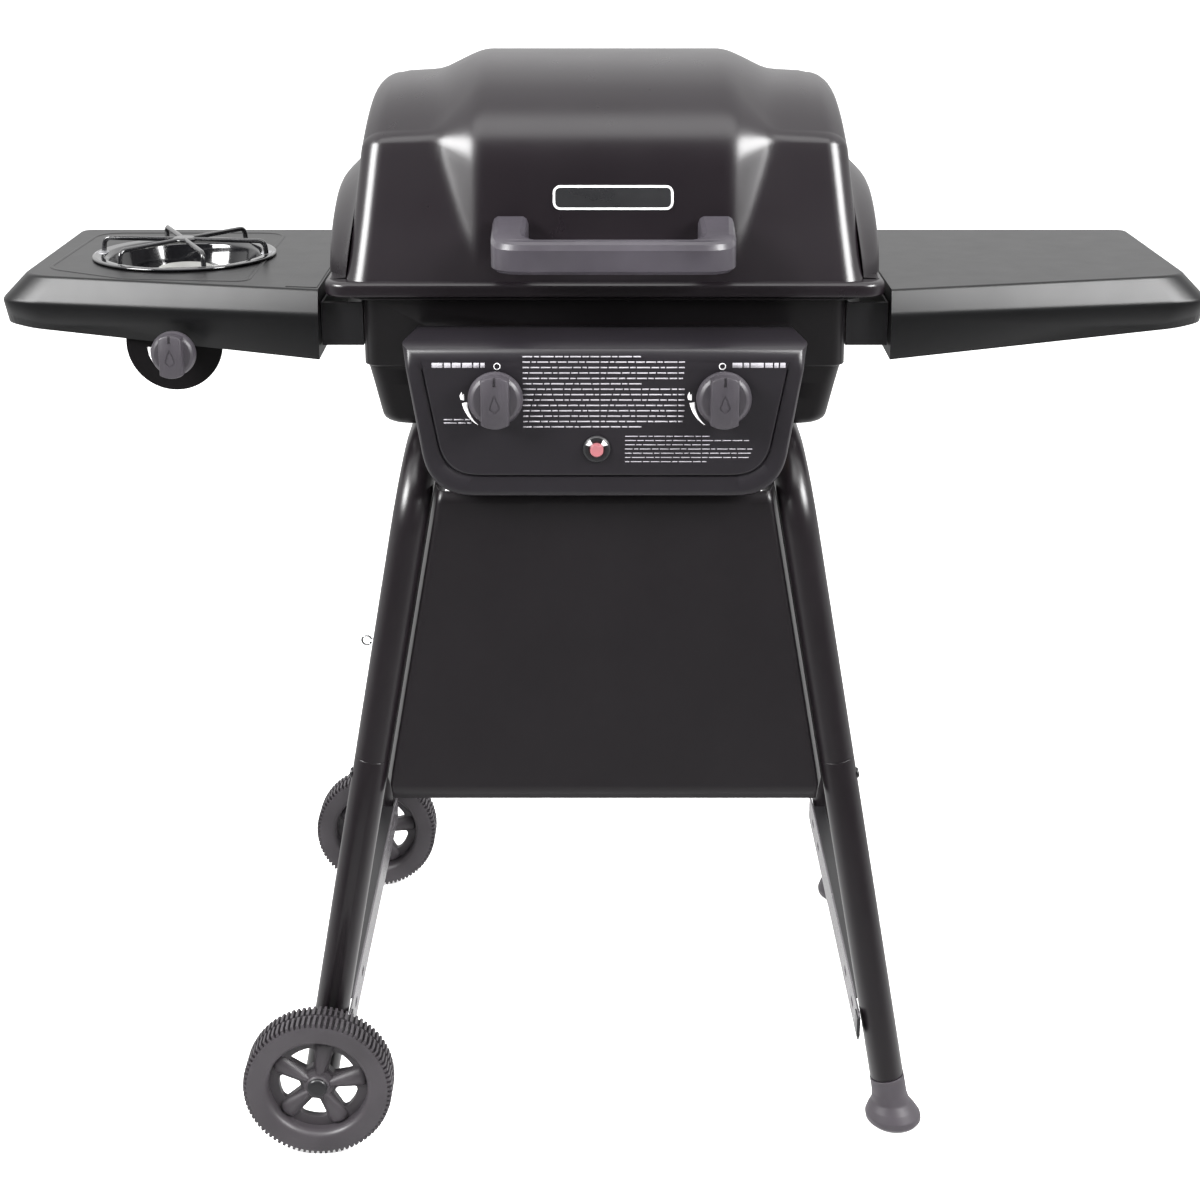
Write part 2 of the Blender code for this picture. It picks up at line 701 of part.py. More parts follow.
def panel_row(inset, y, top_z, top_x, top_y):
    """One row of points round the control panel, from its top right corner to its top left."""
    bottom, radius = PANEL_BOTTOM + inset, 40.0 - 0.5 * inset
    lower = Vector((165.0 - inset, bottom))
    upper = Vector((188.0 - inset, PANEL_TOP))
    along = (upper - lower).normalized()
    shoulder = lower + along * (PANEL_TOP - 20 - bottom) / along.y
    right = [(shoulder.x, shoulder.y)]
    start, end = lower + along * radius, lower - Vector((radius, 0))
    for i in range(6):
        t = i / 5
        p = start.lerp(lower, t).lerp(lower.lerp(end, t), t)
        right.append((p.x, p.y))
    sides = right + [(-x, z) for x, z in reversed(right)]
    return [(top_x, top_y, top_z), *((x, y, z) for x, z in sides), (-top_x, top_y, top_z)]


def control_panel():
    """Pressed front panel: flat field, bevel, turned edge and a top that rolls back."""
    back = BOX_Y - BOX_HALF_Y - 3
    rows = [panel_row(22.0, PANEL_Y, PANEL_TOP - 10, 165.0, PANEL_Y),
            panel_row(0.0, PANEL_Y + 8, PANEL_TOP, 188.0, PANEL_Y + 8),
            panel_row(0.0, PANEL_Y + 16, PANEL_TOP + 5, 178.0, back)]
    bm = bmesh.new()
    verts = skin(bm, rows)
    fold_face(bm, verts[0])
    for low, high in zip(verts, verts[1:]):
        bm.faces.new((low[0], low[-1], high[-1], high[0]))
    ob = sheet("control_panel", bm, 1.4, (0, -230, 790), even=False)
    for side in (-1, 1):
        boolean(ob, guide_cylinder(f"cut_panel_{side}", (knob_x(side), PANEL_Y, KNOB_Z), 6.0, 12))
    boolean(ob, guide_cylinder("cut_igniter", (IGNITER_X, PANEL_Y, IGNITER_Z), 11.0, 12))
    return paint(ob, GUNMETAL, 0.45, 0.42)


def knob(name, x, z, front, back, radius):
    """Round knob with a wide grip bar and a blind bore for its stem."""
    depth = back - front
    skirt = front + depth * 0.55
    profile = [(0, front + depth * 0.38), (radius - 3, skirt - 2), (radius, skirt + 1), (radius, back),
               (4.3, back), (4.3, back - STEM_DEPTH), (0, back - STEM_DEPTH)]
    bm = bmesh.new()
    lathe(bm, profile, (x, 0, z), "Y", 20)
    ob = finish(name, bm, (x, back, z), smooth=True)
    grip = bmesh.new()
    half = radius * 0.54
    reach = radius - 1.0
    outline = [(x + a * half, z + b * math.sqrt(reach ** 2 - (a * half) ** 2))
               for b, row in ((1, (-1, -0.5, 0, 0.5, 1)), (-1, (1, 0.5, 0, -0.5, -1))) for a in row]
    prism(grip, outline, front, skirt + 1.5, "Y")
    boolean(ob, finish(f"join_{name}", grip), "UNION")
    return paint(ob, PLASTIC, 0.0, 0.42)


def valve_stem(name, x, z, back, length):
    """Steel stem that the knob sits on; it slides in when pushed."""
    front = back - STEM_DEPTH + GAP
    bm = bmesh.new()
    lathe(bm, [(0, front), (4, front), (4, back + length), (0, back + length)], (x, 0, z), "Y", 12)
    return paint(finish(name, bm, (x, back, z)), STEEL, 0.9, 0.35)


VALVE_R = 13.5
MANIFOLD_R = 8.0
MANIFOLD_Y = -253.0
MANIFOLD_Z = KNOB_Z - VALVE_R - MANIFOLD_R - 2 * GAP


def valve(name, x, z, front, nozzle):
    """Brass valve body with a bore for the stem and a gas nozzle at the back."""
    profile = [(0, front + 18), (4.4, front + 18), (4.4, front), (12, front), (VALVE_R, front + 3),
               (VALVE_R, front + 26), (7, front + 30), (4, front + 32), (4, front + 32 + nozzle),
               (0, front + 32 + nozzle)]
    bm = bmesh.new()
    lathe(bm, profile, (x, 0, z), "Y", 16)
    return paint(finish(name, bm), BRASS, 0.9, 0.4)


def manifold():
    """Gas pipe that runs under both valves."""
    y, z = MANIFOLD_Y, MANIFOLD_Z
    bm = bmesh.new()
    lathe(bm, [(0, -132), (6, -132), (MANIFOLD_R, -130), (MANIFOLD_R, 140), (0, 140)], (0, y, z), "X", 16)
    return paint(finish("gas_manifold", bm, smooth=True), ZINC, 0.8, 0.4)


def gas_inlet():
    """Hexagonal inlet fitting on the manifold's right end."""
    y, z = MANIFOLD_Y, MANIFOLD_Z
    bm = bmesh.new()
    prism(bm, circle(10, 6, (y, z)), 140 + GAP, 158, "X", holes=[circle(3.5, 12, (y, z))])
    return paint(finish("gas_inlet", bm), BRASS, 0.9, 0.35)


def igniter_housing():
    """Igniter barrel with a round bezel in front of the panel."""
    front = PANEL_Y - 3.2
    profile = [(0, -248), (6.6, -248), (6.6, front), (11.5, front), (12.8, front + 1.3),
               (12.8, PANEL_Y - GAP), (10.6, PANEL_Y - GAP), (10.6, -244), (0, -244)]
    bm = bmesh.new()
    lathe(bm, profile, (IGNITER_X, 0, IGNITER_Z), "Y", 16)
    return paint(finish("igniter_housing", bm, smooth=True), PLASTIC, 0.0, 0.3)


def igniter_button():
    """Red push button in the igniter's bore."""
    front = PANEL_Y - 7.6
    profile = [(0, front), (4.5, front + 0.5), (6.3, front + 2.2), (6.3, front + 24), (0, front + 24)]
    bm = bmesh.new()
    lathe(bm, profile, (IGNITER_X, 0, IGNITER_Z), "Y", 12)
    ob = finish("igniter_button", bm, (IGNITER_X, front + 24, IGNITER_Z), smooth=True)
    return paint(ob, RED, 0.0, 0.35)


# ---------------------------------------------------------------- side shelves

def shelf(name, side, burner=False):
    """Pressed shelf: flat top, chamfer, and an apron that is deep at the grill and shallow outside."""
    inner, outer, tip = SHELF_IN_X, SHELF_TOP_X, HALF_WIDTH
    fi, fo, back = SHELF_FRONT_IN, SHELF_FRONT_OUT, SHELF_BACK
    top = [(inner, back, SHELF_Z), (inner, fi, SHELF_Z), (outer - 26, fo - 5, SHELF_Z),
           (outer - 8, fo + 4, SHELF_Z), (outer, fo + 18, SHELF_Z), (outer, back, SHELF_Z)]
    edge = [(inner, back + 3, 858), (inner, fi - 7, 858), (tip - 32, fo - 13, 856),
            (tip - 7, fo - 1, 856), (tip, fo + 20, 855), (tip - 10, back + 3, 856)]
    apron = [(inner, back + 3, 820), (inner, fi - 7, 814), (tip - 36, fo - 11, 830),
             (tip - 11, fo + 1, 833), (tip - 4, fo + 22, 833), (tip - 14, back + 3, 833)]
    bm = bmesh.new()
    rows = [[(side * x, y, z) for x, y, z in row] for row in (top, edge, apron)]
    verts = skin(bm, rows, close_rows=True)
    bm.faces.new(verts[0])
    ob = sheet(name, bm, 1.5, (side * 430, -30, 800))
    if burner:
        boolean(ob, guide_cylinder("cut_burner_bowl", (BURNER_X, BURNER_Y, SHELF_Z), 83.0, 30, "Z", 36))
    return paint(ob, SHELF_GREY, 0.35, 0.45)


def shelf_bracket(name, side):
    """Folded channel that carries a shelf on the firebox's side."""
    x0, x1 = BOX_HALF_X + 1.0, SHELF_IN_X - 0.8
    z0, z1, wall = 824.0, 866.0, 2.0
    outline = [(x0, z0), (x1, z0), (x1, z1), (x1 - wall, z1), (x1 - wall, z0 + wall),
               (x0 + wall, z0 + wall), (x0 + wall, z1), (x0, z1)]
    outline = [(side * x, z) for x, z in outline]
    bm = bmesh.new()
    prism(bm, outline, -188, 120, "Y")
    ob = finish(name, bm)
    plate = bmesh.new()
    xs = sorted((side * x0, side * x1))
    box(plate, xs[0], xs[1], -190, -188 + 0.5, z0, z1)
    boolean(ob, finish(f"join_{name}", plate), "UNION")
    return paint(ob, BLACK, 0.3, 0.5)


def side_bowl():
    """Enamelled drip bowl with a wide lip, hung in the shelf's opening."""
    lip = SHELF_Z + GAP
    profile = [(RING_R - 3, lip), (RING_R, lip + 1.5), (RING_R - 2, lip + 3.5), (80, lip + 2.4),
               (76, lip - 2), (66, lip - 36), (58, lip - 42), (20, lip - 42), (20, lip - 44),
               (60, lip - 44), (68, lip - 38), (79, lip - 3), (82, lip)]
    bm = bmesh.new()
    lathe(bm, profile, (BURNER_X, BURNER_Y, 0), "Z", 24, ring=True)
    return paint(finish("side_burner_bowl", bm, smooth=True), ENAMEL, 0.0, 0.12)


def side_burner():
    """Side burner: mixing tube below, head with a round cap above."""
    floor = SHELF_Z + GAP - 42
    profile = [(0, floor - 24), (12, floor - 24), (14, floor - 20), (14, floor + GAP),
               (22, floor + 3), (26, floor + 12), (26, floor + 24), (29, floor + 26),
               (29, floor + 29), (24, floor + 32), (0, floor + 33)]
    bm = bmesh.new()
    lathe(bm, profile, (BURNER_X, BURNER_Y, 0), "Z", 18)
    return paint(finish("side_burner_head", bm, smooth=True), (0.62, 0.62, 0.60), 0.6, 0.45)


def pot_support():
    """Six bent wires from a small hub, with their feet on the bowl's lip."""
    top, foot, radius = SHELF_Z + 17.0, SHELF_Z + 3.9, 85.0
    centre = Vector((BURNER_X, BURNER_Y, 0))
    bm = bmesh.new()
    lathe(bm, [(0, top - 2.4), (11, top - 2.4), (12, top), (11, top + 2.0), (0, top + 2.4)],
          (BURNER_X, BURNER_Y, 0), "Z", 12)
    ob = finish("pot_support", bm, (BURNER_X, BURNER_Y, foot))
    for i in range(6):
        angle = math.radians(60 * i - 7)
        out = Vector((math.cos(angle), math.sin(angle), 0))
        start = centre + out * 5 + Vector((0, 0, top))
        corner = centre + out * radius + Vector((0, 0, top))
        end = centre + out * (radius + 1.5) + Vector((0, 0, foot))
        wire = bmesh.new()
        path = [start, *arc_corner(start, corner, end, 6.0, 3), end]
        sweep(wire, path, 2.4, 6)
        boolean(ob, finish(f"join_wire_{i}", wire), "UNION")
    return paint(ob, ENAMEL, 0.2, 0.3)


def side_knob_plate():
    """Round plate under the shelf's front edge that carries the side burner's knob."""
    bm = bmesh.new()
    radius, steps = 47.3, 20
    centre_x, centre_z = -423.0, 819.0
    ends = math.radians(15)
    arc = []
    for i in range(steps + 1):
        angle = math.pi - ends + (math.pi + 2 * ends) * i / steps
        arc.append((centre_x + radius * math.cos(angle), centre_z + radius * math.sin(angle)))
    prism(bm, arc, SIDE_PLATE_Y, SIDE_PLATE_Y + 3.0, "Y",
          holes=[circle(6.0, 16, (SIDE_KNOB_X, SIDE_KNOB_Z))])
    return paint(finish("side_knob_plate", bm), BLACK, 0.3, 0.45)


# ---------------------------------------------------------------- legs and running gear

def leg_frame(name, side):
    """Upper tube frame: front leg, bend, run under the firebox, bend, back leg."""
    low, top = JOINT_Z, FRAME_TOP_Z
    points = [(side * leg_x(low), -LEG_Y, low), (side * leg_x(top), -LEG_Y, top),
              (side * leg_x(top), LEG_Y, top), (side * leg_x(low), LEG_Y, low)]
    path = [points[0], *arc_corner(points[0], points[1], points[2], BEND_R, 5),
            *arc_corner(points[1], points[2], points[3], BEND_R, 5), points[3]]
    bm = bmesh.new()
    sweep(bm, path, TUBE_R, 12, TUBE_R - TUBE_WALL)
    return paint(finish(name, bm, smooth=True), BLACK, 0.3, 0.45)


def lower_leg(name, side, end, low):
    """Lower leg tube with a narrow neck that plugs into the upper frame."""
    direction = Vector((side * -SPLAY, 0, 1)).normalized()
    foot = Vector((side * leg_x(low), end * LEG_Y, low))
    length = (JOINT_Z - low) / direction.z
    bm = bmesh.new()
    neck = TUBE_R - TUBE_WALL - NECK_GAP
    profile = [(0, 0), (TUBE_R, 0), (TUBE_R, length - GAP), (neck, length - GAP), (neck, length + 30),
               (neck - 1.5, length + 30), (neck - 1.5, 6), (0, 6)]
    lathe(bm, profile, (0, 0, 0), "Z", 12)
    turn = Vector((0, 0, 1)).rotation_difference(direction).to_matrix().to_4x4()
    bm.transform(Matrix.Translation(foot) @ turn)
    ob = finish(name, bm, smooth=True)
    if side < 0:
        boolean(ob, guide_cylinder(f"cut_{name}", (WHEEL_X, end * LEG_Y, WHEEL_R), AXLE_R + GAP, 60, "Y", 16))
    return paint(ob, BLACK, 0.3, 0.45)


def foot(name, end):
    """Moulded foot that caps a right leg and spreads on the floor."""
    x, y = leg_x(0), end * LEG_Y
    bm = bmesh.new()
    lathe(bm, [(0, 0), (26, 0), (29, 5), (29, 12), (25, 20), (20, 27), (18.4, 36), (18.4, FOOT_TOP),
               (0, FOOT_TOP)], (x, y, 0), "Z", 20)
    for vert in bm.verts:
        if vert.co.z > FOOT_TOP - 1:
            vert.co.z += SPLAY * (vert.co.x - x)
        if vert.co.z > 1:
            vert.co.x -= SPLAY * vert.co.z
    return paint(finish(name, bm, smooth=True), PLASTIC, 0.0, 0.5)


def side_rail(name, side):
    """Angle rail near the floor: an upright web inside both tubes, a flange out between them."""
    z0, z1, thickness, reach = RAIL_LOW, RAIL_HIGH, 2.0, 14.0
    outer = leg_x(z1) - TUBE_R - 0.6
    inner = outer - thickness
    run = LEG_Y - TUBE_R - 3.0
    bm = bmesh.new()
    low, high = sorted((side * outer, side * inner))
    box(bm, low, high, -LEG_Y - 14, LEG_Y + 14, z0, z1)
    ob = finish(name, bm)
    flange = bmesh.new()
    low, high = sorted((side * (inner + 0.5), side * (outer + reach)))
    box(flange, low, high, -run, run, z1 - thickness, z1)
    boolean(ob, finish(f"join_{name}", flange), "UNION")
    return paint(ob, BLACK, 0.3, 0.45)


def axle():
    """Steel axle through both left legs and both wheels."""
    half = HALF_DEPTH - 6
    bm = bmesh.new()
    lathe(bm, [(0, -half), (AXLE_R, -half), (AXLE_R, half), (0, half)], (WHEEL_X, 0, WHEEL_R), "Y", 12)
    return paint(finish("axle", bm, smooth=True), STEEL, 0.9, 0.35)


def wheel(name, end):
    """Moulded wheel: ribbed tyre, dished web with five windows, and a hub."""
    y = end * WHEEL_Y
    half = WHEEL_W / 2
    centre = (WHEEL_X, WHEEL_R)
    bm = bmesh.new()
    tyre = [(50.5, half - 6), (55, half), (WHEEL_R - 4, half), (WHEEL_R, half - 4),
            (WHEEL_R, -half + 4), (WHEEL_R - 4, -half), (55, -half), (50.5, -half + 6)]
    lathe(bm, tyre, (WHEEL_X, y, WHEEL_R), "Y", 24, ring=True)
    ob = finish(name, bm, (WHEEL_X, y, WHEEL_R), smooth=True)
    web = bmesh.new()
    windows = []
    for i in range(5):
        middle = math.tau * (i + 0.5) / 5 + SPOKE_TURN
        window = []
        for radius, spread in ((19, 0.24), (42, 0.36)):
            arc = [(radius, middle - spread), (radius, middle + spread)]
            window += arc if radius < 30 else arc[::-1]
        windows.append([(centre[0] + r * math.cos(a), centre[1] + r * math.sin(a)) for r, a in window])
    bore = circle(AXLE_R + GAP, 12, centre)
    prism(web, circle(52, 24, centre, 0.1), y - 6, y + 6, "Y", holes=[*windows, bore])
    boolean(ob, finish(f"join_web_{name}", web), "UNION")
    hub = bmesh.new()
    outer = half - 5
    lathe(hub, [(AXLE_R + GAP, -outer), (12, -outer), (14, -4), (14, 4), (12, outer), (AXLE_R + GAP, outer)],
          (WHEEL_X, y, WHEEL_R), "Y", 12, ring=True)
    boolean(ob, finish(f"join_hub_{name}", hub), "UNION")
    return paint(ob, PLASTIC, 0.0, 0.55)


def hub_cap(name, end):
    """Cap pressed over the axle's end."""
    y = end * (HALF_DEPTH - 0.3)
    bm = bmesh.new()
    profile = [(r, -end * h) for r, h in [(0, 0), (8, 0.5), (10.5, 2.2), (10.5, 4.2), (0, 4.2)]]
    lathe(bm, profile, (WHEEL_X, y, WHEEL_R), "Y", 20)
    return paint(finish(name, bm, (WHEEL_X, y, WHEEL_R), smooth=True), PLASTIC, 0.0, 0.3)


# ---------------------------------------------------------------- shield, brace, hook

def tank_shield():
    """Sheet between the front legs, with side edges bent back at a slant."""
    y, fold, slant = -262.0, 22.0, 5.0
    rows = []
    for z in (377.5, 698.0):
        x = leg_x(z) - TUBE_R - 1.0
        rows.append([(-x, y + fold, z), (slant - x, y, z), (x - slant, y, z), (x, y + fold, z)])
    bm = bmesh.new()
    skin(bm, rows)
    ob = sheet("tank_shield", bm, 0.9, (0, -200, 540))
    return paint(ob, BLACK, 0.3, 0.4)


def rear_brace():
    """Flat bar across the back legs."""
    z0, z1 = 452.0, 482.0
    half = leg_x(z0) + 10
    y = LEG_Y - TUBE_R - GAP
    bm = bmesh.new()
    box(bm, -half, half, y - 3, y, z0, z1)
    return paint(finish("rear_brace", bm), BLACK, 0.3, 0.45)


def match_holder():
    """Chromed wire loop on the outside of the left front leg."""
    z = 541.0
    reach, radius, wire = 6.4, 4.6, 1.1
    x, y = -(leg_x(z) + TUBE_R + reach), -LEG_Y + 4
    ring = [(x + radius * math.cos(a), y, z + radius * math.sin(a))
            for a in (math.radians(d) for d in range(20, 341, 40))]
    stem = (x + reach - 0.6, y, ring[0][2])
    bm = bmesh.new()
    sweep(bm, [stem, *ring], wire, 8)
    return paint(finish("match_holder", bm, smooth=True), STEEL, 1.0, 0.15)


# ---------------------------------------------------------------- assembly

firebox()
lid_shell()
lid_handle()
hinge_rod()
grate_ledge()
warming_rack()
electrode()
grease_tray()
control_panel()
manifold()
gas_inlet()
igniter_housing()
igniter_button()
side_bowl()
side_burner()
pot_support()
side_knob_plate()
shelf("shelf_left", -1, burner=True)
shelf("shelf_right", 1)
axle()
tank_shield()
rear_brace()
match_holder()
for side, word in ((-1, "left"), (1, "right")):
    hinge_bracket(side)
    lid_hinge_ear(side)
    cooking_grate(f"cooking_grate_{word}", side)
    heat_tent(f"heat_tent_{word}", side)
    tube_burner(f"burner_{word}", side)
    grease_runner(f"grease_runner_{word}", side)
    valve(f"valve_{word}", knob_x(side), KNOB_Z, -268.0, 14.0)
    valve_stem(f"valve_stem_{word}", knob_x(side), KNOB_Z, KNOB_BACK, 30.0)
    knob(f"knob_{word}", knob_x(side), KNOB_Z, KNOB_FRONT, KNOB_BACK, KNOB_R)
    shelf_bracket(f"shelf_bracket_{word}", side)
    leg_frame(f"leg_frame_{word}", side)
    side_rail(f"side_rail_{word}", side)
    low = LEG_END_LEFT if side < 0 else LEG_END_RIGHT
    for end, place in ((-1, "front"), (1, "rear")):
        lower_leg(f"lower_leg_{word}_{place}", side, end, low)
for end, place in ((-1, "front"), (1, "rear")):
    foot(f"foot_{place}", end)
    wheel(f"wheel_{place}", end)
    hub_cap(f"hub_cap_{place}", end)
valve("valve_side", SIDE_KNOB_X, SIDE_KNOB_Z, SIDE_PLATE_Y + 3.0 + GAP, 10.0)
valve_stem("valve_stem_side", SIDE_KNOB_X, SIDE_KNOB_Z, SIDE_KNOB_BACK, 36.0)
knob("knob_side", SIDE_KNOB_X, SIDE_KNOB_Z, SIDE_KNOB_FRONT, SIDE_KNOB_BACK, SIDE_KNOB_R)
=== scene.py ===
"""Looks of the gas barbecue grill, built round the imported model.

Lengths are in millimetres until a mesh is made. X runs along the width, Y from front to back, Z up.
"""

import math

import bmesh
import bpy
from mathutils import Matrix, Vector
from mathutils.geometry import tessellate_polygon


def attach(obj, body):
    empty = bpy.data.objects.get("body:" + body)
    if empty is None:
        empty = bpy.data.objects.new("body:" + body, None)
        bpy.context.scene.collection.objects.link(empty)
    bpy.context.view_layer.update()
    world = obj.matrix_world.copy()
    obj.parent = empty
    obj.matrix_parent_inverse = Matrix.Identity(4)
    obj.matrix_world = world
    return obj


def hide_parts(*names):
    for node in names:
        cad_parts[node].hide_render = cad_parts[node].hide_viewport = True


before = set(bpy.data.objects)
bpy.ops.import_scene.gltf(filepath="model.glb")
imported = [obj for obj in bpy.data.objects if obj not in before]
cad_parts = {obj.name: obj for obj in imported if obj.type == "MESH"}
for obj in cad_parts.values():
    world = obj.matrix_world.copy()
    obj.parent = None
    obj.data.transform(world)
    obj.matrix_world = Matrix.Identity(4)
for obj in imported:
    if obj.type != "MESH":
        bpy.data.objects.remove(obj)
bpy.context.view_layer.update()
scene = bpy.context.scene

MM = 0.001
GAP = 0.35                 # clearance between pieces that touch

SPLAY = 0.179              # how far a leg leans outwards for each unit down
FOOT_X = 306.6
LEG_Y = 252.0
TUBE_R = 17.5
BEND_R = 72.0
FRAME_TOP_Z = 725.5
JOINT_Z = 419.0
RAIL_LOW = 103.0
RAIL_HIGH = 135.0
FOOT_TOP = 56.0
LEG_END = {-1: 62.0, 1: 57.0}   # height of the left and right legs' lower ends
FRONT_REAR = ((-1, "front"), (1, "rear"))

WHEEL_R = 76.2
WHEEL_W = 38.0
WHEEL_X = -(FOOT_X - SPLAY * WHEEL_R)
WHEEL_Y = 296.0
AXLE_R = 5.0
SPOKE_TURN = math.radians(80)   # direction of the first spoke

BOX_Y = -35.0
BOX_HALF_X = 232.0
BOX_HALF_Y = 170.0
BOX_RIM_Z = 875.0
BOX_SEAM_Z = 807.0
BOX_BOTTOM_Z = 743.5
SHEET = 2.0
LID_BASE_Z = 884.0
LID_RIM_X = 268.0
LID_RIM_Y = 182.0
LID_BODY_X = 248.0
LID_BODY_Y = 177.0
LID_PANEL_RISE = 18.0
LID_FILLET = 23.0          # rounding between the lid's top and its sides
LID_TOP = 1091.0
LID_LEAN = 47.0            # how far the lid's front leans back up to its crease
LID_CREASE = 138.0
PANEL_HALF = 121.0         # half width of the lid's raised panel
RIM_RISE = 6.0             # how far the lid's rim stands above its base line
RIM_FADE = 60.0            # height over which that rise fades out
HANDLE_SHIFT = 8.0

SHELF_Z = 881.0
SHELF_IN_X = 274.0
SHELF_TOP_X = 576.0
SHELF_TIP_X = 602.0
SHELF_FRONT_IN = -202.0
SHELF_FRONT_OUT = -130.0
SHELF_BACK = 136.0

PANEL_Y = -287.0
PANEL_BOTTOM = 699.0
PANEL_TOP = 842.0
PANEL_LOW_X = 165.0         # half width of the control panel at its lower corners
PANEL_HIGH_X = 188.0
PANEL_SHOULDER = 822.0      # height where its sides end and the top bends back
KNOB_X = 105.7
KNOB_SHIFT = 4.5
KNOB_Z = 797.0
KNOB_R = 25.6
KNOB_FRONT = -314.5
KNOB_BACK = -293.0
STEM_DEPTH = 8.0
IGNITER_X = -7.5
IGNITER_Z = 747.0

BURNER_X = -434.0
BURNER_Y = -24.0
RING_R = 94.0
SIDE_KNOB_X = -418.5
SIDE_KNOB_Z = 815.0
SIDE_PLATE_Y = -158.5
SIDE_KNOB_FRONT = -206.0
SIDE_KNOB_BACK = -185.0
SIDE_KNOB_R = 22.0


def leg_x(z):
    """Distance of a leg's centre line from the middle of the grill at height z."""
    return FOOT_X - SPLAY * z


def knob_x(side):
    """Where a knob is across the grill."""
    return side * KNOB_X + KNOB_SHIFT


# ---------------------------------------------------------------- materials

def tune(node, values):
    """Set sockets of a node by name."""
    for key, value in values.items():
        node.inputs[key].default_value = value


class Nodes:
    """A small helper that builds one material's node tree."""

    def __init__(self, name, colour, metallic, roughness):
        self.mat = bpy.data.materials.new(name)
        self.mat.use_nodes = True
        self.tree = self.mat.node_tree
        self.shader = self.tree.nodes["Principled BSDF"]
        tune(self.shader, {"Base Color": (*colour, 1.0), "Metallic": metallic, "Roughness": roughness})
        self.coords = self.tree.nodes.new("ShaderNodeTexCoord").outputs["Object"]

    def link(self, source, target):
        """Join two sockets."""
        self.tree.links.new(source, target)

    def noise(self, scale, detail=4.0, rough=0.55, stretch=(1, 1, 1)):
        """Noise texture over the object's own coordinates, in features per metre."""
        mapping = self.tree.nodes.new("ShaderNodeMapping")
        tune(mapping, {"Scale": stretch})
        self.link(self.coords, mapping.inputs["Vector"])
        node = self.tree.nodes.new("ShaderNodeTexNoise")
        tune(node, {"Scale": scale, "Detail": detail, "Roughness": rough})
        self.link(mapping.outputs["Vector"], node.inputs["Vector"])
        return node.outputs["Fac"]

    def spread(self, source, low, high, start=0.3, stop=0.7):
        """Map a 0 to 1 value onto a range."""
        node = self.tree.nodes.new("ShaderNodeMapRange")
        tune(node, {"From Min": start, "From Max": stop, "To Min": low, "To Max": high})
        self.link(source, node.inputs["Value"])
        return node.outputs["Result"]

    def blend(self, factor, one, two):
        """Mix two plain colours by a factor."""
        node = self.tree.nodes.new("ShaderNodeMix")
        node.data_type = "RGBA"
        self.link(factor, node.inputs["Factor"])
        node.inputs["A"].default_value = (*one, 1.0)
        node.inputs["B"].default_value = (*two, 1.0)
        return node.outputs["Result"]

    def colour(self, source):
        """Feed the shader's colour."""
        self.link(source, self.shader.inputs["Base Color"])

    def roughness(self, source):
        """Feed the shader's roughness."""
        self.link(source, self.shader.inputs["Roughness"])

    def bump(self, source, strength, distance):
        """Fine relief; a second call adds to the first."""
        node = self.tree.nodes.new("ShaderNodeBump")
        tune(node, {"Strength": strength, "Distance": distance})
        self.link(source, node.inputs["Height"])
        target = self.shader.inputs["Normal"]
        if target.links:
            self.link(target.links[0].from_socket, node.inputs["Normal"])
        self.link(node.outputs["Normal"], target)


def shade(colour, factor):
    """A colour made darker or lighter."""
    return tuple(c * factor for c in colour)


def satin_paint(name, colour, roughness, grain=0.10, shine=0.5):
    """Powder-coated sheet metal: fine orange peel and slightly uneven gloss."""
    n = Nodes(name, colour, 0.0, roughness)
    cloud = n.noise(7.0, 3.0)
    n.colour(n.blend(n.spread(cloud, 0.0, 1.0), shade(colour, 0.94), shade(colour, 1.06)))
    smear = n.noise(26.0, 5.0, 0.6, (1.0, 1.0, 0.35))
    n.roughness(n.spread(smear, roughness - 0.02, roughness + 0.03, 0.15, 0.85))
    n.bump(n.noise(620.0, 2.0), grain, 0.00004)
    tune(n.shader, {"Specular IOR Level": shine})
    return n.mat


def moulded(name, colour, roughness, grain=0.15):
    """Moulded plastic with a fine spark-eroded texture."""
    n = Nodes(name, colour, 0.0, roughness)
    n.colour(n.blend(n.spread(n.noise(18.0, 3.0), 0.0, 1.0), shade(colour, 0.85), shade(colour, 1.2)))
    n.roughness(n.spread(n.noise(60.0, 4.0), roughness - 0.05, roughness + 0.06))
    n.bump(n.noise(1900.0, 4.0, 0.7), grain, 0.00012)
    return n.mat


def metal(name, colour, roughness, grain=0.08, stretch=(1, 1, 1), stain=0.8):
    """Bare or plated metal with drawn marks along one direction and a light stain."""
    n = Nodes(name, colour, 1.0, roughness)
    n.colour(n.blend(n.spread(n.noise(35.0, 5.0), 0.0, 1.0), shade(colour, stain), colour))
    streak = n.noise(900.0, 3.0, 0.6, stretch)
    n.roughness(n.spread(streak, roughness - 0.06, roughness + 0.1))
    n.bump(streak, grain, 0.00006)
    return n.mat


def iron(name, colour, roughness):
    """Rough casting, seasoned dark."""
    n = Nodes(name, colour, 0.35, roughness)
    n.colour(n.blend(n.spread(n.noise(70.0, 6.0), 0.0, 1.0), shade(colour, 0.6), shade(colour, 1.5)))
    n.roughness(n.spread(n.noise(110.0, 5.0), roughness - 0.1, roughness + 0.12))
    n.bump(n.noise(480.0, 6.0, 0.7), 0.45, 0.0004)
    return n.mat


